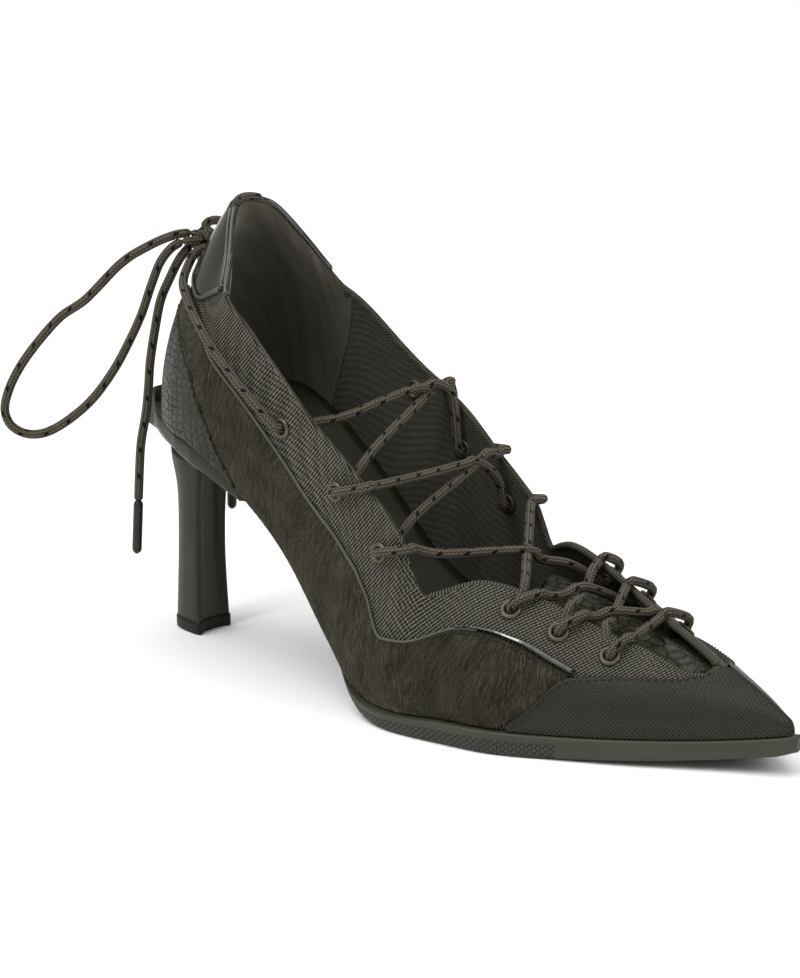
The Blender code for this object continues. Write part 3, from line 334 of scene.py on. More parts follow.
def distances(points):
    """Distance of each point of a path from its first, along the path."""
    return np.concatenate([[0.0], np.cumsum(np.linalg.norm(np.diff(points, axis=0), axis=1))])


def points_at(wanted, at, points):
    """Points of a path at some distances along it."""
    return np.stack([np.interp(wanted, at, column) for column in points.T], -1)


def there_and_back(first, second):
    """One grid whose rows go out along the first and come back along the second."""
    return np.concatenate([first, second[:, ::-1]], axis=1)


def lengths_along(grid):
    """Distance in millimetres of each point of a grid from its first row, and from its first column."""
    down = np.linalg.norm(np.diff(grid, axis=0), axis=-1).mean(axis=1)
    across = np.linalg.norm(np.diff(grid, axis=1), axis=-1)
    u = np.concatenate([[0.0], np.cumsum(down)])[:, None] + np.zeros(grid.shape[1])
    v = np.concatenate([np.zeros((len(grid), 1)), np.cumsum(across, axis=1)], axis=1)
    return u / MM, v / MM


def edge_runs():
    """How far each place of the lower edge lies from the back, measured in plan round the edge."""
    places = np.linspace(0.0, TIP, 400)
    edge = section(LATERAL, places)[0]
    return places, distances(edge[:, :2])


EDGE_RUNS = edge_runs()


def wall_lengths(grid, side, place):
    """Pattern lengths of a piece on the upper: level along the shoe, and upright on its walls."""
    side, place = np.ravel(side), np.ravel(place)
    edge = section(side, place)[0]
    girth = lengths_along(grid)[1]
    u = (grid[..., 0] - edge[:, None, 0] + np.interp(place, *EDGE_RUNS)[:, None]) / MM
    return u, grid[:, :1, 2] / MM + girth


def grid_object(name, grids, materials, loop=False, caps=True):
    """One mesh from grids of points. Each grid comes with its own pattern lengths and a material number.

    A loop joins a grid's last column to its first. Caps close its first and last rows."""
    verts, faces, uvs, numbers = [], [], [], []
    for grid, (u, v), number in grids:
        rows, columns = grid.shape[:2]
        base = len(verts)
        verts.extend(grid.reshape(-1, 3).tolist())
        wide = columns if loop else columns - 1
        for i in range(rows - 1):
            for j in range(wide):
                k = (j + 1) % columns
                a, b = i * columns, (i + 1) * columns
                faces.append((base + a + j, base + b + j, base + b + k, base + a + k))
                last = v[i, j] + (v[i, j] - v[i, j - 1]) if k == 0 else v[i, k]
                uvs.extend(((u[i, j], v[i, j]), (u[i + 1, j], v[i + 1, j])))
                uvs.extend(((u[i + 1, j], last), (u[i, j], last)))
                numbers.append(number if np.isscalar(number) else int(number[i, j]))
        if loop and caps:
            for i in (0, rows - 1):
                ring = [base + i * columns + j for j in range(columns)]
                faces.append(ring if i else ring[::-1])
                order = range(columns) if i else range(columns - 1, -1, -1)
                uvs.extend((u[i, j], v[i, j]) for j in order)
                numbers.append(number if np.isscalar(number) else int(number[0, 0]))
    mesh = bpy.data.meshes.new(name)
    mesh.from_pydata(verts, [], faces)
    layer = mesh.uv_layers.new(name="lengths")
    layer.data.foreach_set("uv", np.array(uvs, float).ravel())
    for material in materials:
        mesh.materials.append(material)
    mesh.polygons.foreach_set("material_index", numbers)
    mesh.polygons.foreach_set("use_smooth", [True] * len(faces))
    body = bmesh.new()
    body.from_mesh(mesh)
    bmesh.ops.remove_doubles(body, verts=body.verts, dist=2e-6)
    bmesh.ops.recalc_face_normals(body, faces=body.faces)
    body.to_mesh(mesh)
    body.free()
    mesh.update()
    made = bpy.data.objects.new(name, mesh)
    COLLECTION.objects.link(made)
    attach(made, "root")
    return made


def one_grid(name, grid, dress, caps=True):
    """One round piece from one grid, in one material, its pattern lengths measured on it."""
    return grid_object(name, [(grid, lengths_along(grid), 0)], [dress], loop=True, caps=caps)


def rounded_shell(name, stations, low, high, levels, far, dress, edge=0.0009):
    """A piece that stands on the upper between two lines, its lower and upper edges rolled down to it."""
    side, place = stations
    side, place = side[:, None], place[:, None]
    bottom, top = low(side, place), high(side, place)
    tall = np.linalg.norm(last_point(side, place, top) - last_point(side, place, bottom), axis=-1)
    roll = np.minimum(edge / np.maximum(tall, 1e-5), 0.3)
    turn = np.array([0.0, 0.25, 0.6, 1.0])
    ends = np.concatenate([roll * turn, 1.0 - roll * turn[::-1]], axis=1)
    middle = roll + (1.0 - 2 * roll) * np.linspace(0, 1, levels + 1)[None, 1:-1]
    share = np.concatenate([ends[:, :4], middle, ends[:, 4:]], axis=1)
    lift = np.sqrt(1.0 - (1.0 - turn) ** 2)
    lift = np.concatenate([lift, np.ones(levels - 1), lift[::-1]])[None, :]
    front = skin(side, place, bottom + (top - bottom) * share, SEATED + (far - SEATED) * lift)
    back = skin(side, place, bottom + (top - bottom) * share[:, ::3], SEATED)
    grid = there_and_back(front, back)
    return grid_object(name, [(grid, wall_lengths(grid, side, place), 0)], [dress], loop=True)


def flow(points, step):
    """Points on a smooth Catmull-Rom curve through the given points, about a step apart."""
    points = [np.array(p, float) for p in points]
    ends = [2 * points[0] - points[1], *points, 2 * points[-1] - points[-2]]
    made = [points[0]]
    for a, b, c, d in zip(ends, ends[1:], ends[2:], ends[3:]):
        count = max(1, round(np.linalg.norm(c - b) / step))
        for i in range(1, count + 1):
            s = i / count
            made.append(b + 0.5 * s * (c - a + s * (2 * a - 5 * b + 4 * c - d + s * (3 * (b - c) + d - a))))
    return np.array(made)


def unit(vector):
    return vector / np.linalg.norm(vector)


def tube(name, path, radius, dress, sides=12, start=0.0):
    """A round cord along a path, with rounded ends. Its pattern runs in millimetres and in turns."""
    path = np.asarray(path)
    runs = np.diff(path, axis=0)
    runs /= np.linalg.norm(runs, axis=1, keepdims=True)
    turns = np.vstack([runs[:1], runs[:-1] + runs[1:], runs[-1:]])
    turns /= np.linalg.norm(turns, axis=1, keepdims=True)
    along = distances(path)
    inset = np.minimum(along, along[-1] - along)
    radii = radius * np.sqrt(1.0 - np.clip(1.0 - inset / radius, 0.0, 0.92) ** 2)
    across = unit(np.cross(turns[0], (0.3, 0.2, 0.9)))
    rings = []
    angles = 2 * math.pi * np.arange(sides) / sides
    for spot, forward, size in zip(path, turns, radii):
        across = unit(across - forward * np.dot(across, forward))
        other = np.cross(forward, across)
        rings.append(spot + size * (np.cos(angles)[:, None] * across + np.sin(angles)[:, None] * other))
    rings = np.array(rings)
    u = (start + along[:, None]) / MM + np.zeros(sides)
    v = np.zeros((len(path), 1)) + np.arange(sides) / sides
    return grid_object(name, [(rings, (u, v), 0)], [dress], loop=True)


class Nodes:
    """Adds nodes to one node tree, with their inputs set or linked in the same call."""

    def __init__(self, tree):
        self.tree = tree
        self.shader = tree.nodes.get("Principled BSDF")

    @functools.cached_property
    def lengths(self):
        """The surface's own pattern lengths, in millimetres."""
        return self.add("ShaderNodeUVMap", uv_map="lengths").outputs[0]

    def put(self, socket, value):
        if isinstance(value, bpy.types.NodeSocket):
            self.tree.links.new(value, socket)
        elif socket.type == "RGBA":
            socket.default_value = (*value, 1.0)
        else:
            socket.default_value = value

    def add(self, kind, inputs=None, **settings):
        made = self.tree.nodes.new(kind)
        for name, value in settings.items():
            setattr(made, name, value)
        for name, value in (inputs or {}).items():
            self.put(made.inputs[name], value)
        return made

    def math(self, operation, *values, clamp=False):
        made = self.add("ShaderNodeMath", operation=operation, use_clamp=clamp)
        for socket, value in zip(made.inputs, values):
            self.put(socket, value)
        return made.outputs[0]

    def vector(self, operation, first, second):
        made = self.add("ShaderNodeVectorMath", operation=operation)
        self.put(made.inputs[0], first)
        self.put(made.inputs[1], second)
        return made.outputs[0]

    def parts(self, vector):
        made = self.add("ShaderNodeSeparateXYZ", {"Vector": vector})
        return made.outputs[0], made.outputs[1]

    def join(self, x, y, z=0.0):
        return self.add("ShaderNodeCombineXYZ", {"X": x, "Y": y, "Z": z}).outputs[0]

    def mix(self, share, low, high):
        made = self.add("ShaderNodeMix", data_type="RGBA")
        for socket, value in zip((made.inputs[0], made.inputs[6], made.inputs[7]), (share, low, high)):
            self.put(socket, value)
        return made.outputs[2]

    def blend(self, share, low, high):
        made = self.add("ShaderNodeMix", data_type="FLOAT")
        for socket, value in zip((made.inputs[0], made.inputs[2], made.inputs[3]), (share, low, high)):
            self.put(socket, value)
        return made.outputs[0]

    def between(self, value, low, high):
        """0 below one value and 1 above another, smooth between."""
        made = self.add("ShaderNodeMapRange", {"Value": value, "From Min": low, "From Max": high},
                        interpolation_type="SMOOTHSTEP")
        return made.outputs[0]

    def noise(self, vector, scale, detail=2.0):
        given = {"Vector": vector, "Scale": scale, "Detail": detail}
        return self.add("ShaderNodeTexNoise", given).outputs["Fac"]

    def use(self, effect, lengths=None, **values):
        """An effect's outputs, at the surface's own pattern lengths or at others."""
        lengths = self.lengths if lengths is None else lengths
        made = self.add("ShaderNodeGroup", {"Lengths": lengths}, node_tree=effect)
        for name, value in values.items():
            self.put(made.inputs[name], value)
        return made.outputs

    def paint(self, share, low, high):
        """The shader's colour, between two colours."""
        self.put(self.shader.inputs["Base Color"], self.mix(share, low, high))

    def polish(self, share, low, high):
        """The shader's roughness, between two values."""
        self.put(self.shader.inputs["Roughness"], self.blend(share, low, high))

    def bump(self, height, strength, depth, under=None):
        """Bump from a height, its depth in millimetres, over another bump where there is one."""
        made = self.add("ShaderNodeBump", {"Height": height, "Strength": strength, "Distance": depth * MM})
        if under is not None:
            self.put(made.inputs["Normal"], under)
        self.put(self.shader.inputs["Normal"], made.outputs[0])
        return made.outputs[0]


def effect(name, inputs, outputs, fill):
    """A node group. Inputs are names and defaults, outputs are names, and fill makes its nodes."""
    tree = bpy.data.node_groups.new(name, "ShaderNodeTree")
    for label, default in inputs:
        vector = default is None
        socket = tree.interface.new_socket(
            label, in_out="INPUT", socket_type="NodeSocketVector" if vector else "NodeSocketFloat"
        )
        if not vector:
            socket.default_value = default
    for label in outputs:
        tree.interface.new_socket(label, in_out="OUTPUT", socket_type="NodeSocketFloat")
    nodes = Nodes(tree)
    given = nodes.add("NodeGroupInput").outputs
    end = nodes.add("NodeGroupOutput")
    for label, value in zip(outputs, fill(nodes, given)):
        nodes.put(end.inputs[label], value)
    return tree


def fill_weave(nodes, given):
    """Oval threads in two staggered grids, so that each row lies half a step along from the last."""
    u, v = nodes.parts(given["Lengths"])
    x, y = nodes.math("DIVIDE", u, given["Step"]), nodes.math("DIVIDE", v, given["Row"])
    domes = []
    for shift in (0.0, 0.5):
        fx = nodes.math("SUBTRACT", nodes.math("FRACT", nodes.math("ADD", x, shift)), 0.5)
        fy = nodes.math("SUBTRACT", nodes.math("FRACT", nodes.math("ADD", y, shift)), 0.5)
        fx = nodes.math("ADD", fx, nodes.math("MULTIPLY", fy, given["Slant"]))
        long = nodes.math("POWER", nodes.math("DIVIDE", fx, given["Long"]), 2.0)
        wide = nodes.math("POWER", nodes.math("DIVIDE", fy, given["Wide"]), 2.0)
        domes.append(nodes.math("SUBTRACT", 1.0, nodes.math("ADD", long, wide), clamp=True))
    height = nodes.math("SQRT", nodes.math("MAXIMUM", *domes))
    return height, nodes.between(height, 0.30, 0.90)


def fill_scales(nodes, given):
    """Rounded cells with creases between: how high, how near the crease, and each cell's own value."""
    cells = {"Vector": given["Lengths"], "Scale": given["Scale"], "Randomness": given["Randomness"]}
    crease = nodes.add("ShaderNodeTexVoronoi", cells, voronoi_dimensions="2D", feature="DISTANCE_TO_EDGE")
    centre = nodes.add("ShaderNodeTexVoronoi", cells, voronoi_dimensions="2D")
    height = nodes.between(crease.outputs["Distance"], 0.0, 0.22)
    own = nodes.add("ShaderNodeSeparateColor", {"Color": centre.outputs["Color"]}).outputs[0]
    return height, nodes.between(crease.outputs["Distance"], 0.02, 0.10), own


def fill_mottle(nodes, given):
    """Slow uneven shade of a dyed or worn surface, and a fine grain on it."""
    lengths = given["Lengths"]
    return nodes.noise(lengths, given["Slow"], 3.0), nodes.noise(lengths, given["Fine"], 4.0)


def fill_braid(nodes, given):
    """The strands of a round braid, and the dark flecks of its few odd threads."""
    u, v = nodes.parts(given["Lengths"])
    along = nodes.math("DIVIDE", u, given["Step"])
    around = nodes.math("MULTIPLY", v, 8.0)
    row = nodes.math("FLOOR", around)
    shifted = nodes.math("ADD", along, nodes.math("MULTIPLY", row, 0.5))
    fx = nodes.math("SUBTRACT", nodes.math("FRACT", shifted), 0.5)
    fy = nodes.math("SUBTRACT", nodes.math("FRACT", around), 0.5)
    odd = nodes.math("MODULO", row, 2.0)
    lean = nodes.math("MULTIPLY", nodes.math("SUBTRACT", nodes.math("MULTIPLY", odd, 2.0), 1.0), 0.7)
    fx = nodes.math("ADD", fx, nodes.math("MULTIPLY", fy, lean))
    long = nodes.math("POWER", nodes.math("DIVIDE", fx, 0.52), 2.0)
    wide = nodes.math("POWER", nodes.math("DIVIDE", fy, 0.50), 2.0)
    height = nodes.math("SQRT", nodes.math("SUBTRACT", 1.0, nodes.math("ADD", long, wide), clamp=True))
    turn = nodes.math("FRACT", nodes.math("ADD", nodes.math("DIVIDE", u, given["Repeat"]), v))
    near = nodes.math("LESS_THAN", turn, 0.19)
    return height, nodes.math("MULTIPLY", near, nodes.math("LESS_THAN", odd, 0.5))


def fill_bumps(nodes, given):
    """A grid of small raised lozenges pressed in leather or rubber."""
    u, v = nodes.parts(given["Lengths"])
    x = nodes.math("DIVIDE", u, given["Step"])
    y = nodes.math("DIVIDE", v, given["Row"])
    first = nodes.math("SINE", nodes.math("MULTIPLY", nodes.math("ADD", x, y), math.pi))
    second = nodes.math("SINE", nodes.math("MULTIPLY", nodes.math("SUBTRACT", x, y), math.pi))
    product = nodes.math("MULTIPLY", nodes.math("ABSOLUTE", first), nodes.math("ABSOLUTE", second))
    return (nodes.between(product, 0.05, 0.75),)


LENGTHS = ("Lengths", None)
WEAVE = effect(
    "weave", (LENGTHS, ("Step", 1.0), ("Row", 0.5), ("Long", 0.4), ("Wide", 0.5), ("Slant", 0.3)),
    ("Height", "Thread"), fill_weave,
)
SCALES = effect(
    "scales", (LENGTHS, ("Scale", 0.3), ("Randomness", 0.8)), ("Height", "Flat", "Own"), fill_scales
)
MOTTLE = effect("mottle", (LENGTHS, ("Slow", 0.1), ("Fine", 2.0)), ("Slow", "Fine"), fill_mottle)
BRAID = effect("braid", (LENGTHS, ("Step", 1.1), ("Repeat", 16.0)), ("Height", "Fleck"), fill_braid)
BUMPS = effect("bumps", (LENGTHS, ("Step", 1.0), ("Row", 1.0)), ("Height",), fill_bumps)


def material(name, roughness, specular=0.5, coat=0.0, coat_roughness=0.05, sheen=0.0, metallic=0.0):
    """A material, with its plain values on the shader itself, and its nodes."""
    made = bpy.data.materials.new(name)
    made.use_nodes = True
    nodes = Nodes(made.node_tree)
    plain = {
        "Roughness": roughness, "Specular IOR Level": specular, "Coat Weight": coat,
        "Coat Roughness": coat_roughness, "Sheen Weight": sheen, "Sheen Roughness": 0.5,
        "Metallic": metallic,
    }
    for label, value in plain.items():
        nodes.put(nodes.shader.inputs[label], value)
    return made, nodes


def woven_material():
    """Thick khaki threads, with the gaps between them painted near-black as shade."""
    made, nodes = material("woven_outside", 0.75, specular=0.15, sheen=0.05)
    height, thread = nodes.use(WEAVE, Step=1.36, Row=1.50, Long=0.32, Wide=0.345, Slant=-0.55)
    slow, fine = nodes.use(MOTTLE, Slow=0.35, Fine=3.0)
    khaki = nodes.mix(nodes.between(fine, 0.3, 0.7), (0.070, 0.065, 0.047), (0.190, 0.177, 0.135))
    # painted shade: the low gaps between the threads are painted near-black
    gap_shade = nodes.mix(slow, (0.0025, 0.0025, 0.002), (0.006, 0.006, 0.004))
    nodes.paint(thread, gap_shade, khaki)
    nodes.bump(height, 1.0, 0.40)
    return made


def rim_material():
    """The same threads folded over the edge, closer together and darker, with painted shade in the gaps
    between them.
    """
    made, nodes = material("woven_edge", 0.8, specular=0.15)
    height, thread = nodes.use(WEAVE, Step=1.0, Row=0.9, Long=0.38, Wide=0.36, Slant=0.9)
    # painted shade: the gaps between the threads are near-black
    nodes.paint(thread, (0.005, 0.005, 0.003), (0.085, 0.080, 0.058))
    nodes.bump(height, 0.8, 0.25)
    return made


def suede_material():
    made, nodes = material("suede_lining", 0.95, specular=0.1, sheen=0.3)
    slow, fine = nodes.use(MOTTLE, Slow=0.12, Fine=2.6)
    base = nodes.mix(nodes.between(slow, 0.3, 0.75), (0.058, 0.051, 0.037), (0.090, 0.080, 0.060))
    nodes.paint(nodes.math("MULTIPLY", fine, 0.4), base, (0.024, 0.022, 0.016))
    nodes.bump(fine, 0.35, 0.15)
    return made


def ribbed_material():
    """Fine ribs of small knots in a grey-olive lining, painted darker between the knots as shade."""
    made, nodes = material("ribbed_lining", 0.7, specular=0.2)
    height, thread = nodes.use(WEAVE, Step=1.5, Row=1.7, Long=0.42, Wide=0.30, Slant=0.1)
    slow = nodes.use(MOTTLE, Slow=0.1)[0]
    base = nodes.mix(slow, (0.050, 0.048, 0.036), (0.072, 0.069, 0.053))
    # painted shade: darker colour in the low places between the knots
    nodes.paint(thread, (0.036, 0.035, 0.026), base)
    nodes.bump(height, 0.5, 0.25)
    return made


def hide_material():
    """The hide under the hair, painted dark in combed streaks as the shade between the fibres."""
    made, nodes = material("hide", 0.85, specular=0.1)
    u, v = nodes.parts(nodes.lengths)
    combed = nodes.join(nodes.math("MULTIPLY", u, 3.0), nodes.math("MULTIPLY", v, 0.45))
    streak = nodes.noise(combed, 1.0, 3.0)
    # painted shade: dark colour for the hide seen between the fibres
    nodes.paint(streak, (0.008, 0.008, 0.005), (0.036, 0.033, 0.020))
    nodes.bump(streak, 0.7, 0.5)
    return made


def hair_material():
    """Short fibres, each with its own tone, darker in soft patches, their roots darker than their tips as
    painted shade.
    """
    made, nodes = material("hair", 0.50, specular=0.22, sheen=0.0)
    own = nodes.add("ShaderNodeAttribute", attribute_name="shade").outputs["Fac"]
    nodes.paint(own, (0.004, 0.004, 0.002), (0.122, 0.110, 0.067))
    return made


def reptile_material(name, scale, randomness, stretch, light, dark, roughness, height_mm):
    """Leather pressed with reptile scales and glossed, its creases painted darker as shade."""
    made, nodes = material(name, roughness, specular=0.14, coat=0.09, coat_roughness=0.12)
    wide = nodes.vector("MULTIPLY", nodes.lengths, (1.0 / stretch, 1.0, 1.0))
    height, flat, own = nodes.use(SCALES, wide, Scale=scale, Randomness=randomness)
    fine = nodes.use(MOTTLE, Fine=3.2)[1]
    body = nodes.mix(nodes.math("MULTIPLY", own, 0.8), light, dark)
    # painted shade: near-black in the creases between the scales
    nodes.paint(flat, (0.004, 0.004, 0.003), body)
    nodes.polish(fine, roughness - 0.08, roughness + 0.14)
    grain = nodes.bump(fine, 0.12, 0.10)
    nodes.bump(height, 0.85, height_mm, under=grain)
    return made


def patent_material():
    made, nodes = material("patent", 0.10, specular=0.35, coat=0.85, coat_roughness=0.03)
    slow = nodes.use(MOTTLE, Slow=0.10)[0]
    nodes.paint(slow, (0.007, 0.007, 0.003), (0.014, 0.013, 0.006))
    nodes.bump(slow, 0.30, 0.9)
    return made


def cap_material():
    """Satin leather pressed with a close grid of bumps, painted darker between them as shade."""
    made, nodes = material("pebbled_leather", 0.36, specular=0.26, coat=0.05, coat_roughness=0.22)
    height, = nodes.use(BUMPS, Step=1.35, Row=1.35)
    slow, fine = nodes.use(MOTTLE, Slow=0.15, Fine=3.0)
    # painted shade: the darker colour fills the low places between the bumps
    low = nodes.mix(slow, (0.005, 0.005, 0.003), (0.008, 0.008, 0.005))
    high = nodes.mix(slow, (0.018, 0.018, 0.009), (0.026, 0.026, 0.014))
    nodes.paint(height, low, high)
    nodes.polish(fine, 0.30, 0.44)
    nodes.bump(height, 0.9, 0.32)
    return made


def plain_leather_material():
    made, nodes = material("insole_leather", 0.38, specular=0.18, coat=0.05, coat_roughness=0.25)
    slow, fine = nodes.use(MOTTLE, Slow=0.06, Fine=2.2)
    nodes.paint(slow, (0.013, 0.012, 0.006), (0.019, 0.018, 0.009))
    nodes.polish(fine, 0.34, 0.52)
    nodes.bump(fine, 0.12, 0.12)
    return made


def moulded_material(name, base, light, roughness, fine=1.6):
    """Satin moulded rubber or plastic: even colour with a slow cloud, faint scuffs and a fine grain."""
    made, nodes = material(name, roughness, specular=0.20, coat=0.03, coat_roughness=0.3)
    slow, grain = nodes.use(MOTTLE, Slow=0.05, Fine=fine)
    streaks = nodes.vector("MULTIPLY", nodes.lengths, (0.35, 1.6, 1.0))
    scuff = nodes.between(nodes.noise(streaks, 0.8, 5.0), 0.66, 0.78)
    body = nodes.mix(slow, base, light)
    nodes.paint(nodes.math("MULTIPLY", scuff, 0.25), body, light)
    nodes.polish(grain, roughness - 0.07, roughness + 0.10)
    nodes.bump(grain, 0.10, 0.08)
    return made


def tread_material():
    """Sole rubber: smooth at its rim, with a band of pressed lozenges along its lower edge, painted darker
    between them as shade.
    """
    made, nodes = material("sole_rubber_tread", 0.42, specular=0.26, coat=0.03, coat_roughness=0.3)
    height, = nodes.use(BUMPS, Step=2.2, Row=1.7)
    slow = nodes.use(MOTTLE, Slow=0.05)[0]
    body = nodes.mix(slow, (0.036, 0.037, 0.026), (0.048, 0.049, 0.035))
    # painted shade: dark colour in the recesses between the lozenges
    nodes.paint(height, (0.016, 0.016, 0.012), body)
    nodes.bump(height, 0.7, 0.6)
    return made


def eyelet_material():
    """Bronze lacquer, its colour mottled."""
    made, nodes = material("eyelet_bronze", 0.38, specular=0.5, metallic=0.55)
    slow, fine = nodes.use(MOTTLE, Slow=0.9, Fine=4.0)
    nodes.paint(slow, (0.055, 0.046, 0.028), (0.110, 0.093, 0.060))
    nodes.polish(fine, 0.30, 0.50)
    return made


def lace_material():
    """A khaki round braid with paired black flecks, painted dark between its strands as shade."""
    made, nodes = material("lace_braid", 0.8, specular=0.12, sheen=0.05)
    height, fleck = nodes.use(BRAID, Step=1.25, Repeat=8.6)
    slow = nodes.use(MOTTLE, Slow=0.2)[0]
    strand = nodes.mix(slow, (0.070, 0.060, 0.043), (0.115, 0.099, 0.072))
    # painted shade: near-black in the gaps between the strands
    body = nodes.mix(nodes.between(height, 0.05, 0.5), (0.010, 0.009, 0.006), strand)
    nodes.paint(fleck, body, (0.002, 0.002, 0.002))
    nodes.bump(height, 0.8, 0.28)
    return made


def thread_material():
    made, nodes = material("sewing_thread", 0.6, specular=0.35)
    fine = nodes.use(MOTTLE, Fine=5.0)[1]
    nodes.paint(fine, (0.006, 0.006, 0.004), (0.018, 0.017, 0.012))
    return made


FLOOR_COLOUR = (0.93, 0.93, 0.93)
FLOOR_REACH = 6.0
WORLD_LIGHT = 0.38


def floor_material():
    made, nodes = material("floor", 0.65, specular=0.2)
    nodes.put(nodes.shader.inputs["Base Color"], FLOOR_COLOUR)
    return made


WOVEN = woven_material()
RIM = rim_material()
SUEDE = suede_material()
RIBBED = ribbed_material()
HIDE = hide_material()
HAIR = hair_material()
COUNTER = reptile_material(
    "reptile_counter", 0.40, 0.65, 1.3, (0.028, 0.027, 0.014), (0.009, 0.009, 0.005), 0.30, 0.5
)
TONGUE = reptile_material(
    "reptile_tongue", 0.33, 0.8, 1.5, (0.040, 0.039, 0.025), (0.018, 0.018, 0.011), 0.34, 0.35
)
PATENT = patent_material()
CAP = cap_material()
INSOLE = plain_leather_material()
HEEL = moulded_material("heel_satin", (0.017, 0.017, 0.010), (0.025, 0.024, 0.015), 0.38)
LIFT = moulded_material("lift_rubber_dark", (0.006, 0.005, 0.004), (0.012, 0.010, 0.007), 0.5)
SOLE = moulded_material("sole_rubber_smooth", (0.036, 0.037, 0.026), (0.048, 0.049, 0.035), 0.42)
TREAD = tread_material()
BRONZE = eyelet_material()
BRAIDED = lace_material()
AGLET = moulded_material("aglet_film", (0.016, 0.015, 0.011), (0.028, 0.026, 0.020), 0.30)
THREAD = thread_material()
CUT_EDGE = moulded_material("cut_edge", (0.060, 0.060, 0.046), (0.085, 0.084, 0.066), 0.5)


# The camera stands where the photograph's did: place and target in the part's frame, roll in degrees, lens
CAMERA_PLACE = (0.77749, -0.90922, 0.39329)
CAMERA_TARGET = (-0.01262, -0.01054, 0.06429)
CAMERA_ROLL = -0.8796
FOCAL_PIXELS = 4134.94
PHOTO_HEIGHT = 978
SENSOR = 36.0


def build_camera():
    data = bpy.data.cameras.new("camera")
    data.sensor_fit = "VERTICAL"
    data.sensor_height = SENSOR
    data.sensor_width = SENSOR
    data.lens = FOCAL_PIXELS / PHOTO_HEIGHT * SENSOR
    camera = bpy.data.objects.new("camera", data)
    COLLECTION.objects.link(camera)
    place, target = Vector(CAMERA_PLACE), Vector(CAMERA_TARGET)
    camera.location = place
    camera.rotation_mode = "QUATERNION"
    turn = Quaternion((0.0, 0.0, 1.0), math.radians(CAMERA_ROLL))
    camera.rotation_quaternion = (target - place).to_track_quat("-Z", "Y") @ turn
    bpy.context.scene.camera = camera


# The bow behind the heel, from the knot outward: the part's own points, in millimetres from the back of
# the upper
LOOP_LATERAL = (
    (6.4, -2.6, 129.8), (2.0, -6.0, 128.9), (-4.5, -10.5, 125.5), (-12.0, -15.5, 119.8),
    (-22.3, -21.3, 108.0), (-29.8, -25.3, 102.0), (-36.7, -29.1, 93.5), (-42.2, -32.1, 85.1),
    (-45.7, -34.0, 77.5), (-47.1, -34.8, 70.8), (-45.4, -33.8, 65.8), (-40.7, -31.3, 63.3),
    (-34.8, -28.1, 64.3), (-27.9, -24.3, 69.1), (-21.1, -20.6, 76.1), (-15.0, -17.3, 85.4),
    (-10.4, -14.8, 94.6), (-6.4, -12.8, 103.8), (-3.3, -11.4, 112.9), (-0.4, -10.0, 120.5),
    (2.8, -8.2, 125.2), (6.0, -6.2, 127.6),
)
LOOP_MEDIAL = (
    (6.0, 3.0, 130.4), (5.6, 8.0, 131.8), (6.0, 17.0, 129.0), (8.0, 27.0, 121.5), (10.0, 35.0, 111.0),
    (12.0, 41.0, 99.0), (13.0, 44.0, 87.0), (13.0, 43.0, 76.0), (11.0, 38.0, 70.0), (8.0, 32.0, 71.0),
    (5.0, 27.0, 78.0), (3.0, 22.5, 88.0), (2.0, 19.0, 99.0), (3.0, 15.5, 109.0), (4.2, 12.0, 118.0),
    (6.0, 8.5, 124.5), (6.4, 6.2, 127.2),
)
END_LATERAL = (
    (6.4, -3.0, 125.8), (4.0, -5.8, 121.5), (1.0, -7.8, 114.6), (-1.3, -9.4, 108.1), (-3.0, -10.7, 98.2),
    (-4.4, -11.7, 88.4), (-5.0, -12.2, 80.1), (-5.9, -12.8, 71.8), (-7.6, -13.7, 61.9),
    (-8.5, -14.0, 51.8), (-9.1, -14.2, 42.6),
)
END_MEDIAL = (
    (6.8, 2.4, 124.7), (4.0, 4.2, 120.0), (1.0, 8.0, 112.0), (-1.0, 12.5, 102.0), (-1.5, 16.5, 91.0),
    (-1.5, 19.2, 80.0), (-1.2, 20.4, 69.0), (-1.0, 20.6, 59.0), (-0.9, 20.4, 51.5),
)
AGLET_LENGTH = 0.0172
AGLET_RADIUS = 0.00155
LACE_STEP = 0.0012  # between the points of a lace's path


def build_bow():
    """Two loops and two ends of the lace hang free from the knot. Each end has its aglet."""
    for name, points in (("loop_lateral", LOOP_LATERAL), ("loop_medial", LOOP_MEDIAL)):
        path = flow(np.array(points) * MM + ORIGIN, LACE_STEP)
        loop = tube(f"{name}_braid", path, LACE / 2, BRAIDED)
        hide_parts(name)
    for side, points in (("lateral", END_LATERAL), ("medial", END_MEDIAL)):
        path = flow(np.array(points) * MM + ORIGIN, LACE_STEP)
        end = tube(f"end_{side}_braid", path, LACE / 2, BRAIDED, start=0.004)
        fall = unit(path[-1] - path[-2])
        tip = path[-1] + fall * np.linspace(-0.0006, AGLET_LENGTH, 24)[:, None]
        aglet = tube(f"aglet_{side}_film", tip, AGLET_RADIUS, AGLET, sides=16)
        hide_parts(f"end_{side}")
        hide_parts(f"aglet_{side}")


LACE_CLEAR = LACE / 2 + GAP + 0.0002
BARREL_END = 0.0006

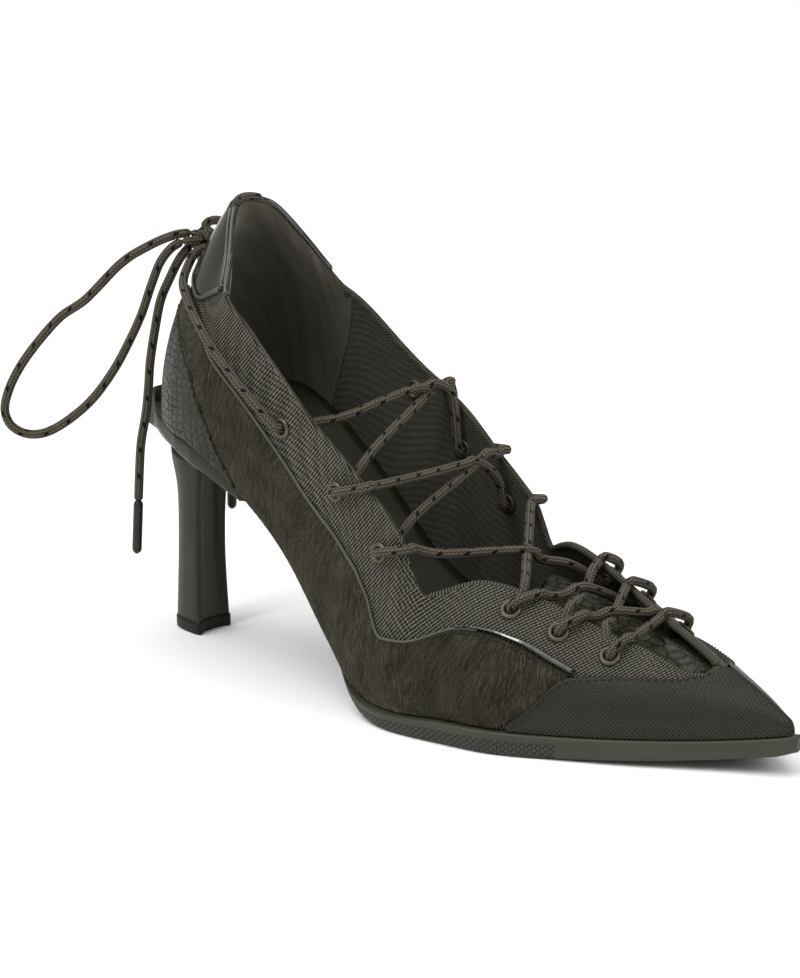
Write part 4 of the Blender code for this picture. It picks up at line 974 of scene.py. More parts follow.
# Strands that cross in pairs, as in the part: side, start, rises above the straight line, the place where a
# strand passes over the edge, and the eyelet that it enters from outside
CROSSINGS = (
    (
        (MEDIAL, 2, ((0.015, 0.0120), (0.04, 0.0185), (0.13, 0.0207), (0.25, 0.0180), (0.47, 0.0117),
                     (0.70, 0.0050)), None, 1),
        (LATERAL, 2, ((0.30, 0.0029), (0.80, 0.0020)), 6.45, None),
    ),
    (
        (MEDIAL, 3, ((0.02, 0.0062), (0.06, 0.0094), (0.15, 0.0122), (0.26, 0.0121), (0.60, 0.0062)),
         7.65, 2),
        (LATERAL, 3, ((0.25, 0.0036), (0.90, 0.0032)), 7.75, 2),
    ),
    (
        (MEDIAL, 4, ((0.18, 0.0042), (0.34, 0.0042), (0.85, 0.0)), 8.77, 3),
        (LATERAL, 10.70, ((0.35, 0.0), (0.70, 0.0)), 8.70, 3),
    ),
    (
        (MEDIAL, 5, ((0.22, 0.0024), (0.80, 0.0009)), 10.95, 4),
        (LATERAL, 11.36, ((0.75, 0.0005),), 10.80, 4),
    ),
    (
        (MEDIAL, 12.22, ((0.16, 0.0), (0.84, 0.0)), 11.62, 5),
        (LATERAL, 12.00, ((0.80, 0.0),), 11.48, 5),
    ),
)
RUN_LATERAL = ((5.30, 0.718), (5.10, 0.707), (4.69, 0.715), (4.24, 0.731), (3.57, 0.704),
               (2.79, 0.655), (2.00, 0.640), (1.30, 0.672), (0.90, 0.715))
RUN_MEDIAL = ((6.42, 0.925), (6.15, 0.850), (5.60, 0.765), (5.10, 0.725), (4.69, 0.717), (4.24, 0.731),
              (3.57, 0.704), (2.79, 0.655), (2.00, 0.640), (1.30, 0.672), (0.90, 0.715))
RUN_LIFT = OVERLAY + GAP + GAP + LACE / 2


def eyelet_spot(side, number):
    return (LATERAL_EYELETS if side < 0 else MEDIAL_EYELETS)[number - 1]


def under_eyelet(side, number):
    """Middle of the lace just inside an eyelet."""
    return skin(side, *eyelet_spot(side, number), -(WALL + BARREL_END + GAP + LACE / 2))


def over_eyelet(side, number, start):
    """The lace's way from near the top edge to just outside an eyelet, over its ring."""
    spot = eyelet_spot(side, number)
    hole = skin(side, *spot, 0.0006 + LACE / 2)
    normal = last_normal(side, *spot)
    back = start - hole
    back = unit(back - normal * np.dot(back, normal))
    ways = ((EYELET_RADIUS + 0.0004, 0.0009), (0.0009, 0.0002))
    return [hole + away * back + rise * normal for away, rise in ways]


def through_eyelet(side, number):
    """The lace's way down through an eyelet, from outside to inside."""
    spot = eyelet_spot(side, number)
    return [skin(side, *spot, depth) for depth in (-0.0006, -(WALL + 0.0012))]


def beside_edge(side, place, out, rise):
    """Point near the upper's top edge: a distance out from its outside and a distance above the edge."""
    places = (place, place - 0.06, place + 0.06)
    edge, before, after = (last_point(side, p, top_line(side, p)) for p in places)
    normal = last_normal(side, place, top_line(side, place))
    upward = unit(np.cross(after - before, normal)) * side
    return edge + out * normal + rise * upward


def over_edge(side, place):
    """The lace's way over the upper's edge, from the inside to the outside."""
    slant = LACE_CLEAR * math.sqrt(0.5)
    first = (-WALL - slant, slant) if place < SLOT_START else (-0.0010, LACE_CLEAR + 0.0001)
    way = (first, (-WALL / 2 + 0.0004, LACE_CLEAR + 0.0001), (slant, slant), (LACE_CLEAR, 0.0))
    return [beside_edge(side, place, out, rise) for out, rise in way]


def strand_ends(strand):
    side, start, _, edge, target = strand
    inside = isinstance(start, int)
    first = under_eyelet(side, start) if inside else beside_edge(side, start, -0.0004, LACE_CLEAR)
    if edge is None:
        return first, [under_eyelet(-side, target)]
    way = over_edge(-side, edge)
    return first, way[:3] + over_eyelet(-side, target, way[2]) if target else way


def crossing_point(over, under):
    """Where two strands cross in plan, at the mean of their heights there."""
    (a, b), (c, d) = ((first, way[0]) for first, way in (strand_ends(over), strand_ends(under)))
    along, other = (b - a)[:2], (d - c)[:2]
    s, t = np.linalg.solve(np.array([along, -other]).T, (c - a)[:2])
    heights = []
    for strand, share, low, high in ((over, s, a, b), (under, t, c, d)):
        rises = [(0.0, 0.0), *strand[2], (1.0, 0.0)]
        lift = np.interp(share, [r[0] for r in rises], [r[1] for r in rises])
        heights.append(low[2] + share * (high[2] - low[2]) + lift)
    return s, t, np.array([*(a[:2] + s * along), sum(heights) / 2])


def strand_points(strand, share, middle):
    """A strand's points, with its own way through the eyelet that it enters."""
    first, way = strand_ends(strand)
    points = [first]
    placed = False
    for at, lift in strand[2]:
        if at > share and not placed:
            points.append(middle)
            placed = True
        points.append(first + at * (way[0] - first) + np.array([0.0, 0.0, lift]))
    if not placed:
        points.append(middle)
    entered = through_eyelet(-strand[0], strand[4]) if strand[3] is not None and strand[4] else []
    return points + way + entered


def half_lace(upper_first):
    """One half of the lace, from the front bar back to where it leaves the crossings."""
    points = []
    for number in range(len(CROSSINGS) - 1, -1, -1):
        over, under = CROSSINGS[number]
        s, t, middle = crossing_point(over, under)
        apart = np.array([0.0, 0.0, (LACE - 0.0002) / 2])
        pair = (over, s, middle + apart), (under, t, middle - apart)
        strand, share, crossed = pair[0] if over_starts(number, upper_first) else pair[1]
        points += strand_points(strand, share, crossed)
    return points


def over_starts(number, upper_first):
    """Whether this half of the lace takes the upper strand of a crossing. It changes side at each one."""
    start_side = MEDIAL if upper_first else LATERAL
    steps = len(CROSSINGS) - 1 - number
    side = start_side if steps % 2 == 0 else -start_side
    return CROSSINGS[number][0][0] == side


def run_points(side, spots):
    """The lace back along the collar to the knot."""
    return [skin(side, *spot, RUN_LIFT + 0.0002) for spot in spots]


def build_lace():
    """One lace through all its eyelets, from the knot to the knot, by way of the bar at the front."""
    ways = [over_edge(side, place)[:3] for side, place in ((LATERAL, 12.45), (MEDIAL, 12.35))]
    lateral_bar = ways[0][1:] + over_eyelet(LATERAL, 6, ways[0][2]) + through_eyelet(LATERAL, 6)
    medial_bar = ways[1][1:] + over_eyelet(MEDIAL, 6, ways[1][2]) + through_eyelet(MEDIAL, 6)
    from_lateral = lateral_bar + half_lace(upper_first=False)
    from_medial = medial_bar + half_lace(upper_first=True)
    knot = np.array(KNOT) + ORIGIN
    lateral_in = [knot + np.array(p) * MM for p in ((2.4, -3.6, -1.8), (0.2, -0.8, -2.6))]
    medial_in = [knot + np.array(p) * MM for p in ((2.4, 3.6, -0.6), (0.4, 0.6, 0.6))]
    # One half ends inside the first lateral eyelet and comes out through it; the other passes over the edge
    medial_tail = run_points(MEDIAL, RUN_MEDIAL) + medial_in
    out = run_points(LATERAL, RUN_LATERAL)
    outside = over_eyelet(LATERAL, 1, out[0])[::-1]
    lateral_tail = through_eyelet(LATERAL, 1)[::-1] + outside + out + lateral_in
    chain = (from_medial + lateral_tail)[::-1] + from_lateral + medial_tail
    path = flow(chain, LACE_STEP)
    lace = tube("lace_through_eyelets", path, LACE / 2, BRAIDED)
    crossings = [f"lace_crossing_{number}" for number in range(1, 6)]
    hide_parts(*crossings, "lace_bar", "lace_run_lateral", "lace_run_medial")


KNOT_ROOTS = (
    LOOP_LATERAL[0], LOOP_LATERAL[-1], END_LATERAL[0],
    LOOP_MEDIAL[0], LOOP_MEDIAL[-1], END_MEDIAL[0],
)


def build_knot():
    """A tight bow knot: two turns round the roots of the loops and ends."""
    middle = np.array(KNOT) + ORIGIN
    turns = np.linspace(0.0, 2.2 * 2 * math.pi, 72)
    across = -1.5 + 3.0 * turns / turns[-1]
    wrap = np.stack([0.3 + 2.4 * np.cos(turns), across, 3.0 * np.sin(turns)], -1) * MM
    pieces = [tube("knot_turns", middle + wrap, LACE / 2 * 0.95, BRAIDED)]
    for number, root in enumerate(KNOT_ROOTS):
        root = np.array(root) * MM + ORIGIN
        aside = np.array([0.0, 0.25, 0.4]) * (root - middle)
        path = flow([root, 0.55 * root + 0.45 * middle + 0.4 * aside, middle + 0.1 * aside], 0.0008)
        pieces.append(tube(f"knot_root_{number}", path, LACE / 2 * 0.98, BRAIDED, start=0.003 * number))
    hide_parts("knot")


UPPER_LEVELS = 40
PADDING = 0.0017  # how far the collar's lining stands in at the back


def build_upper():
    """The upper: woven outside, its threads folded over the edge, and suede and ribbed lining inside."""
    side, place = round_heel(TIP, 0.045)
    side, place = side[:, None], place[:, None]
    top = top_line(side, place)
    share = np.linspace(0.0, 1.0, UPPER_LEVELS + 1)[None, :]
    outer = last_point(side, place, top * share)
    start, stop = 13.4, 15.3
    under = np.where(place < start, place, start + (place - start) * (stop - start) / (TIP - start))
    drop = (1.0 - share) * np.linalg.norm(outer[:, -1:] - outer[:, :1], axis=-1)
    padded = smooth_step(0.0, 0.004, drop) * (1.0 - smooth_step(0.010, 0.017, drop))
    padded = padded * (1.0 - smooth_step(3.4, 4.4, place))
    inner = skin(side, under, top * share, -WALL - PADDING * padded)
    closed = (place > SLOT_END - 0.001)[:, 0]
    seam = 0.5 * (inner[:, -1] + inner[::-1, -1])
    inner[closed, -1] = seam[closed]
    front = 0.5 * (inner[0] + inner[-1])
    inner[0], inner[-1] = front, front
    rim_out = 0.5 * (outer[:, -1] + inner[:, -1])
    rise = outer[:, -1] - outer[:, -2]
    rise /= np.linalg.norm(rise, axis=-1, keepdims=True)
    rim = (rim_out + 0.0005 * rise * ~closed[:, None])[:, None]
    inside = np.where(under < LINING_SEAM + 0.0 * share, 2, 3)
    deep = np.linalg.norm(inner[:, -1:] - inner, axis=-1)
    inside = np.where((deep < 0.0014) & (place > 4.4), 1, inside)
    grid = np.concatenate([outer, rim, inner[:, ::-1]], axis=1)
    parts = [np.zeros((len(grid), UPPER_LEVELS)), np.ones((len(grid), 2)), inside[:, ::-1]]
    dressed = (grid, wall_lengths(grid, side, place), np.concatenate(parts, axis=1))
    body = grid_object("upper_wall", [dressed], [WOVEN, RIM, SUEDE, RIBBED], loop=True, caps=False)
    cut_holes(body)
    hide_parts("upper")


def every_eyelet():
    return [(LATERAL, s) for s in LATERAL_EYELETS] + [(MEDIAL, s) for s in MEDIAL_EYELETS]


def eyelet_frame(side, spot):
    """Matrix at an eyelet: its Z axis points out of the shoe."""
    turned = Vector(last_normal(side, *spot)).to_track_quat("Z", "Y").to_matrix().to_4x4()
    turned.translation = Vector(last_point(side, *spot))
    return turned


def cut_holes(target):
    """Bore one round hole through the wall for each eyelet."""
    body = bmesh.new()
    for side, spot in every_eyelet():
        bmesh.ops.create_cone(
            body, cap_ends=True, segments=24, radius1=HOLE_RADIUS, radius2=HOLE_RADIUS, depth=0.010,
            matrix=eyelet_frame(side, spot),
        )
    mesh = bpy.data.meshes.new("hole_cutter")
    body.to_mesh(mesh)
    body.free()
    cutter = bpy.data.objects.new("hole_cutter", mesh)
    COLLECTION.objects.link(cutter)
    bore = target.modifiers.new("eyelet_holes", "BOOLEAN")
    bore.operation = "DIFFERENCE"
    bore.solver = "EXACT"
    bore.object = cutter
    bpy.context.view_layer.update()
    done = bpy.data.meshes.new_from_object(target.evaluated_get(bpy.context.evaluated_depsgraph_get()))
    target.modifiers.clear()
    target.data = done
    bpy.data.objects.remove(cutter)


def ring_profile(seat):
    """Section of an eyelet: radius and height, round the crown outside and the rolled barrel inside."""
    crown = [
        (EYELET_BORE + 0.0008 - 0.0008 * math.cos(turn), seat + 0.0007 * math.sin(turn))
        for turn in np.linspace(0, 1.9, 9)
    ]
    skirt = [(EYELET_RADIUS - 0.0002, seat + 0.00035), (EYELET_RADIUS, seat),
             (HOLE_RADIUS - 0.0002, seat - 0.0001)]
    roll = [(HOLE_RADIUS - 0.0002, -WALL - 0.0001), (HOLE_RADIUS + 0.0007, -WALL - 0.0002),
            (HOLE_RADIUS + 0.0008, -WALL - 0.0005), (HOLE_RADIUS + 0.0002, -WALL - 0.0008),
            (EYELET_BORE + 0.0002, -WALL - 0.0006), (EYELET_BORE, -WALL)]
    return crown + skirt + roll


def build_eyelets():
    for label, side, spots in (("lateral", LATERAL, LATERAL_EYELETS), ("medial", MEDIAL, MEDIAL_EYELETS)):
        for number, spot in enumerate(spots, 1):
            place = eyelet_frame(side, spot)
            rows = []
            for turn in np.linspace(0, 2 * math.pi, 41):
                rows.append([
                    place @ Vector((radius * math.cos(turn), radius * math.sin(turn), height))
                    for radius, height in ring_profile(0.0003)
                ])
            ring = one_grid(f"eyelet_ring_{label}_{number}", np.array(rows), BRONZE, caps=False)
            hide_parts(f"eyelet_{label}_{number}")


def build_counter():
    piece = rounded_shell(
        "reptile_heel_counter", round_heel(5.05, 0.06), lambda s, p: LOWEST + 0.0 * p,
        lambda s, p: line(COUNTER_TOP, p), 24, OUTSIDE, COUNTER,
    )
    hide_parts("heel_counter")


def build_tab():
    piece = rounded_shell(
        "patent_heel_tab", round_heel(3.75, 0.05), lambda s, p: line(TAB_LOW, p),
        lambda s, p: np.maximum(top_line(s, p) + 0.004, line(TAB_LOW, p) + 0.01), 20, OUTSIDE, PATENT,
    )
    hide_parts("heel_tab")
    side, place = round_heel(3.62, 0.06)
    low = skin(side, place, line(TAB_LOW, place) - 0.002, 0.0008)
    tube("tab_folded_edge", low, 0.0007, CUT_EDGE, sides=10)
    side, place = round_heel(3.98, 0.06)
    high = skin(side, place, top_line(side, place), -0.0004) + np.array([0.0, 0.0, 0.0002])
    tube("tab_top_edge", high, 0.0010, PATENT)
    side, place = round_heel(1.25, 0.05)
    high = skin(side, place, top_line(side, place), -0.0006) + np.array([0.0, 0.0, 0.0008])
    tube("tab_top_cord", high, 0.0013, BRAIDED)


def build_edges():
    """Bindings on both edges of the front slot, and the cut edge of the hide along the weave."""
    for label, side in SIDES:
        _, place = one_side(side, 9.30, 13.95, 0.03)
        rim = skin(side, place, top_line(side, place), -0.0009)
        tube(f"slot_binding_{label}", rim, 0.0011, RIM)
        _, place = one_side(side, 1.55, 10.4, 0.05)
        edge = skin(side, place, hair_high(side, place) + 0.002, 0.0007)
        tube(f"hide_cut_edge_{label}", edge, 0.00048, CUT_EDGE, sides=8)


def build_cap():
    """The toe cap in two halves that meet along the ridge, as one mesh."""
    grids = []
    for side in (LATERAL, MEDIAL):
        _, place = one_side(side, 11.2, TIP, 0.04)
        place = place[:, None]
        top = cap_top(side, place)
        share = np.linspace(0, 1, 31)[None, :]
        height = LOWEST + (top - LOWEST) * share
        tall = np.linalg.norm(last_point(side, place, top) - last_point(side, place, LOWEST), axis=-1)
        edge = np.where(place < 14.12, np.clip((1.0 - share) * tall / 0.0008, 0.0, 1.0), 1.0)
        back = np.clip((place - 11.2) / 0.05, 0.0, 1.0)
        lift = np.sqrt(1.0 - (1.0 - np.minimum(edge, back)) ** 2)
        grid = skin(side, place, height, SEATED + OUTSIDE * lift)
        grids.append((grid, wall_lengths(grid, np.full(place.shape, side), place), 0))
    piece = grid_object("pebbled_toe_cap", grids, [CAP])
    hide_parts("toe_cap")


def build_piping():
    for label, side in SIDES:
        piece = rounded_shell(
            f"patent_piping_{label}", one_side(side, 10.0, 11.97, 0.03),
            lambda s, p: line(HAIR_TOP, p) + 0.004,
            lambda s, p: line(HAIR_TOP, p) + 0.012 + 0.030 * smooth_step(10.0, 11.8, p), 10,
            OUTSIDE + 0.0005, PATENT, edge=0.0012,
        )
        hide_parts(f"piping_{label}")


HAIRS = 24000  # on each side
HAIR_LENGTH = 0.0042
HAIR_WIDTH = 0.00015
PAINTED_ROOT_SHADE = (0.55, 0.55, 0.7, 1.0)  # of a fibre's three roots and its tip: the roots darker, as painted shade near the hide


def build_quarters():
    """Hair-on quarters: a hide with short fibres combed downward and back."""
    for label, side in SIDES:
        hide = rounded_shell(
            f"hide_{label}", one_side(side, 1.5, 11.95, 0.05), hair_low, hair_high, 24,
            GAP + 0.6 * OVERLAY, HIDE, edge=0.0006,
        )
        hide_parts(f"quarter_{label}")
        build_hairs(f"hair_{label}", side)


def hair_room(side, place, height):
    """Whether a hair may stand at a spot: on the quarter, and not at its edges."""
    return (height > hair_low(side, place) + 0.012) & (height < hair_high(side, place) - 0.006)


def build_hairs(name, side):
    place = RANDOM.uniform(1.55, 11.9, HAIRS * 3)
    height = RANDOM.uniform(0.0, 0.66, HAIRS * 3)
    low, high, _, _ = section(side, place)
    area = np.linalg.norm(section(side, place + 0.1)[0] - section(side, place - 0.1)[0], axis=-1)
    area *= np.linalg.norm(high - low, axis=-1)
    keep = hair_room(side, place, height) & (RANDOM.uniform(0, 1, len(place)) < area / area.max())
    place, height = place[keep][:HAIRS], height[keep][:HAIRS]
    count = len(place)
    lift = GAP + 0.55 * OVERLAY
    root = skin(side, place, height, lift)
    low, high, _, _ = section(side, place)
    tall = np.linalg.norm(high - low, axis=-1)
    long = HAIR_LENGTH * RANDOM.uniform(0.6, 1.15, count)
    swirl = 0.35 * np.sin(1.9 * place + 4.0 * height) + RANDOM.normal(0.0, 0.16, count)
    down = np.maximum(height - long / tall, hair_low(side, place) - 0.012)
    step = np.linalg.norm(section(side, place + 0.5)[0] - section(side, place - 0.5)[0], axis=-1)
    beside = np.clip(place - swirl * long / step, 1.4, 11.97)
    free = np.clip((down - hair_low(side, place)) / 0.08, 0.08, 1.0)
    tip = skin(side, beside, np.maximum(down, 0.003), lift + free * RANDOM.uniform(0.0002, 0.0009, count))
    normal = last_normal(side, place, height)
    along = tip - root
    across = np.cross(normal, along)
    across /= np.linalg.norm(across, axis=-1, keepdims=True)
    wide = (HAIR_WIDTH * RANDOM.uniform(0.8, 1.5, count))[:, None]
    foot = [root + wide * across, root - wide * across, root + wide * 1.2 * normal]
    corners = np.stack([*foot, tip], axis=1)
    base = 4 * np.arange(count)[:, None]
    faces = np.concatenate([base + np.array(f) for f in ((0, 1, 3), (1, 2, 3), (2, 0, 3), (0, 2, 1))])
    mesh = bpy.data.meshes.new(name)
    mesh.from_pydata(corners.reshape(-1, 3).tolist(), [], faces.tolist())
    mesh.materials.append(HAIR)
    waves = np.sin(7.0 * place + 3.0 * np.sin(9.0 * height))
    patch = 0.5 + 0.28 * waves * np.cos(13.0 * height + 2.0 * place)
    own = np.clip(0.45 * patch + 0.8 * RANDOM.uniform(0.0, 1.0, count) ** 2.2, 0.0, 1.0)
    shade = mesh.attributes.new("shade", "FLOAT", "POINT")
    # painted shade: each fibre's roots are darker than its tip
    shade.data.foreach_set("value", np.repeat(own, 4) * np.tile(PAINTED_ROOT_SHADE, count))
    made = bpy.data.objects.new(name, mesh)
    COLLECTION.objects.link(made)
    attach(made, "root")
    return made


TONGUE_END = (10.95, 10.82, 10.56, 10.33, 10.10, 10.16, 12.60)
TONGUE_ACROSS = (None, 0.0, 0.25, 0.45, 0.68, 0.88, None)
TONGUE_DROP = (0.0, 0.0, 0.0014, 0.0030, 0.0050, 0.0055, 0.0055)
DROP_START, DROP_RUN = 12.6, 1.6
TONGUE_FRONT = 14.3
TONGUE_TUCK = 0.14
TONGUE_SAG = 0.0030


def tongue_point(place, column, offset):
    """Point of the tongue. Columns 0 and 6 lie under the upper, and 1 and 5 under the slot's edges."""
    side = LATERAL if column < 3 else MEDIAL
    if column in (0, 6):
        return skin(side, place, top_line(side, place) - TONGUE_TUCK, offset)
    left, right = (skin(s, place, top_line(s, place), offset) for s in (LATERAL, MEDIAL))
    share = TONGUE_ACROSS[column]
    width = np.linalg.norm(right - left)
    sag = TONGUE_SAG * min(1.0, width / 0.010) * 4 * share * (1 - share)
    drop = TONGUE_DROP[column] * min(max((DROP_START - place) / DROP_RUN, 0.0), 1.0)
    return left + share * (right - left) - np.array([0.0, 0.0, sag + drop])


def spread(rows, count):
    """More points along each row of a grid, on smooth curves."""
    made = []
    for row in rows:
        fine = flow(row, 0.0006)
        at = distances(fine)
        made.append(points_at(np.linspace(0.0, at[-1], count), at, fine))
    return np.array(made)


def build_tongue():
    """A reptile strap under the slot, its free end rounded and its side edges smooth."""
    depth, thick = WALL + 0.0007, 0.0014
    grids = []
    for offset in (-depth, -depth - thick):
        rows = []
        for share in np.linspace(0.0, 1.0, 40) ** 1.2:
            places = [end + share * (TONGUE_FRONT - end) for end in TONGUE_END]
            rows.append([tongue_point(place, column, offset) for column, place in enumerate(places)])
        grids.append(spread(rows, 31))
    piece = one_grid("reptile_tongue", there_and_back(*grids), TONGUE)
    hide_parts("tongue")


SOLE_ROWS = (
    # place, margin outside the upper
    (5.25, -0.0045),
    (5.60, -0.0028),
    (6.00, -0.0016),
    (6.60, -0.0008),
    (7.20, 0.0000),
    (7.70, 0.0014),
    (8.05, 0.0026),
    (8.40, 0.0034),
    (9.00, 0.0038),
    (9.70, 0.0036),
    (10.40, 0.0030),
    (11.15, 0.0026),
    (11.90, 0.0026),
    (12.60, 0.0026),
    (13.30, 0.0026),
    (14.00, 0.0026),
    (14.70, 0.0025),
    (15.30, 0.0024),
    (15.80, 0.0024),
)
# Inset from the edge in millimetres where the sole is thick, and height as a share of the thickness
SOLE_PROFILE = (
    (4.5, 0.0), (2.2, 0.0), (1.0, 0.03), (0.35, 0.10), (0.12, 0.22), (0.10, 0.40), (0.22, 0.55),
    (0.30, 0.66), (0.34, 0.72), (0.10, 0.76), (0.0, 0.83), (0.02, 0.92), (0.25, 0.985), (0.8, 1.0),
    (4.0, 1.0),
)
# Where the sole ends past the toe tip: how far out, half width, and rise
SOLE_TIP = ((0.0004, 0.0029, -0.0004), (0.0020, 0.0021, 0.0), (0.0028, 0.0012, 0.0003))
TREAD_START, TREAD_END = 7.6, 12.0
SOLE_BOTTOM = (
    # distance along as a share of LENGTH, height as a share of SEAT_HEIGHT
    (0.191, 0.713),
    (0.238, 0.629),
    (0.280, 0.501),
    (0.319, 0.374),
    (0.357, 0.234),
    (0.391, 0.128),
    (0.421, 0.063),
    (0.450, 0.022),
    (0.480, 0.004),
    (0.510, 0.000),
    (0.705, 0.000),
    (0.765, 0.008),
    (0.820, 0.019),
    (0.884, 0.035),
    (0.943, 0.057),
    (0.994, 0.084),
    (1.013, 0.116),
)


def eased(rows, x, ease, steps=9, column=1):
    """A table's column at some values of its first, with its corners eased."""
    rows = np.array(rows, float)
    shifts = np.linspace(-ease, ease, steps)
    return np.mean([np.interp(np.asarray(x) + s, rows[:, 0], rows[:, column]) for s in shifts], axis=0)


def sole_bottom(x):
    return eased(SOLE_BOTTOM, (x - ORIGIN[0]) / LENGTH, 0.012) * SEAT_HEIGHT


def arch_heights(places, rises):
    """Heights on the last, from 0 to 1, of points that stand above the medial lower edge."""
    made = []
    tries = np.linspace(0.0, 0.6, 61)
    for place, rise in zip(places, rises):
        walls = last_point(MEDIAL, place, tries)[:, 2]
        base = section(MEDIAL, place)[0][2]
        made.append(float(np.interp(base + rise, walls, tries)))
    return np.array(made)


def build_insole():
    """The sock lining: it rests on the sole and rises toward the arch."""
    places = np.linspace(0.02, 15.0, 150)
    arch = eased(ARCH, places, 0.3) * SEAT_HEIGHT
    inset = WALL + np.where(places < 12.0, 0.0005, 0.0009)
    columns = np.linspace(0, 1, 19)
    grids = []
    for lift in (0.0028, 0.0004):
        left, right = (section(s, places)[0] - inset[:, None] * outward(s, places) for _, s in SIDES)
        rise = lift + (arch if lift > 0.001 else 0.0 * arch)
        wall = skin(MEDIAL, places, arch_heights(places, rise), -inset)
        grid = left[:, None] + (right - left)[:, None] * columns[None, :, None]
        hump = np.maximum(0.0, (columns[None, :] - 0.3) / 0.7) ** 1.6 * (rise - lift)[:, None] + lift
        grid[..., 2] += hump
        grid[..., 1] += (wall - grid[:, -1])[:, None, 1] * smooth_step(0.6, 1.0, columns)[None, :]
        grids.append(grid)
    piece = one_grid("insole_leather_sock", there_and_back(*grids), INSOLE)
    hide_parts("insole")


def build_sole():
    """Outsole: a thin shank that widens into the ball, with a rim, a groove and a pressed band."""
    places = np.concatenate([np.linspace(5.25, 15.6, 280), np.linspace(15.64, 15.8, 6)])
    margin = eased(SOLE_ROWS, places, 0.2, 7)
    left = section(LATERAL, places)[0]
    right = section(MEDIAL, places)[0]
    top = left[:, 2] - 0.0004
    left = left + margin[:, None] * outward(LATERAL, places)
    right = right + margin[:, None] * outward(MEDIAL, places)
    tip = section(LATERAL, TIP)[0]
    for reach, half, rise in SOLE_TIP:
        left = np.vstack([left, tip + (reach, -half, 0.0)])
        right = np.vstack([right, tip + (reach, half, 0.0)])
        top = np.append(top, tip[2] + rise)
    width = np.linalg.norm(right - left, axis=1)
    grids = []
    for end, inward in ((left, (right - left) / width[:, None]), (right, (left - right) / width[:, None])):
        floor = sole_bottom(end[:, 0])
        thick = top - floor
        band = smooth_step(0.0025, 0.006, thick)
        columns = []
        for inset, share in SOLE_PROFILE:
            most = np.minimum(inset * MM, 0.4 * width)
            if 0.1 < inset < 1.0:
                most = most * (0.4 + 0.6 * band)
            point = end + inward * most[:, None]
            point[:, 2] = floor + thick * share
            columns.append(point)
        grids.append(np.stack(columns, axis=1))
    grid = there_and_back(*grids)
    along = distances(0.5 * (left + right)) / MM
    u = along[:, None] + np.zeros(grid.shape[1])
    v = grid[..., 2] / MM
    edge = len(grids[0][0])
    number = np.zeros((len(grid), grid.shape[1]))
    stations = np.append(places, [TIP] * len(SOLE_TIP))
    ball = (stations > TREAD_START) & (stations < TREAD_END)
    for j in (*range(2, 7), *range(2 * edge - 8, 2 * edge - 3)):
        number[ball, j] = 1
    piece = grid_object("outsole_rubber", [(grid, (u, v), number)], [SOLE, TREAD], loop=True)
    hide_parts("outsole")


SEAT_ROWS = np.array((
    # distance along as a share of LENGTH, half width of BALL_WIDTH, then top, side's lower edge and keel of
    # SEAT_HEIGHT
    (-0.0680, 0.021, 1.029, 0.898, 0.891),
    (-0.0629, 0.040, 1.037, 0.891, 0.871),
    (-0.0433, 0.058, 1.064, 0.901, 0.841),
    (-0.0416, 0.061, 0.995, 0.901, 0.837),
    (-0.0170, 0.145, 0.993, 0.914, 0.800),
    (0.0085, 0.197, 0.993, 0.917, 0.769),
    (0.0340, 0.247, 0.985, 0.909, 0.742),
    (0.0680, 0.297, 0.967, 0.887, 0.714),
    (0.1020, 0.324, 0.944, 0.857, 0.701),
    (0.1359, 0.330, 0.905, 0.816, 0.687),
    (0.1699, 0.329, 0.844, 0.766, 0.680),
    (0.1912, 0.324, 0.796, 0.735, 0.680),
)) * np.array((LENGTH, BALL_WIDTH, SEAT_HEIGHT, SEAT_HEIGHT, SEAT_HEIGHT))
EDGES = section(LATERAL, np.linspace(0.0, 12.0, 240))[0]


def seat_values(x):
    """Half width, top, side's lower edge and keel of the heel seat at a distance along."""
    half, top, side, keel = (np.interp(x, SEAT_ROWS[:, 0], SEAT_ROWS[:, i]) for i in range(1, 5))
    under = np.interp(x + ORIGIN[0], EDGES[:, 0], EDGES[:, 2]) - 0.0006
    return half, np.where(x < 0.0, top, under), side, keel


def seat_bottom(x, y):
    half, _, side, keel = seat_values(x)
    share = np.minimum(np.abs(y) / (0.94 * half), 1.0)
    return side - (side - keel) * (1.0 - share * share)


def build_heel_seat():
    """The moulded plate under the heel, its edges rounded, with the tail behind."""
    xs = np.unique(np.concatenate([SEAT_ROWS[:, 0], np.linspace(SEAT_ROWS[0, 0], SEAT_ROWS[-1, 0], 90)]))
    half, top, side, _ = seat_values(xs)
    columns = []
    for share in np.linspace(-0.94, 0.94, 19):
        columns.append(np.stack([xs, share * half, seat_bottom(xs, share * half)], -1))
    corners = ((half - 0.0002, side + 0.0003), (half, side + 0.0010), (half, top - 0.0010),
               (half - 0.0002, top - 0.0003), (np.maximum(half - 0.0008, 0.0004), top))
    right = [np.stack([xs, y, z], -1) for y, z in corners]
    left = [p * np.array([1.0, -1.0, 1.0]) for p in right[::-1]]
    grid = np.stack(columns + right + left, axis=1) + ORIGIN
    piece = one_grid("heel_seat_plate", grid, HEEL)
    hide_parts("heel_seat")


HEEL_ROWS = np.array((
    # height as a share of SEAT_HEIGHT, back and front of LENGTH, half width of BALL_WIDTH, depth of the
    # hollow of LENGTH
    (0.0, -0.0221, 0.0408, 0.097, 0.0068),
    (0.163, -0.0195, 0.0391, 0.092, 0.0068),
    (0.340, -0.0161, 0.0382, 0.088, 0.0076),
    (0.517, -0.0140, 0.0400, 0.088, 0.0093),
    (0.653, -0.0144, 0.0433, 0.092, 0.0110),
    (0.790, -0.0255, 0.0501, 0.105, 0.0127),
))


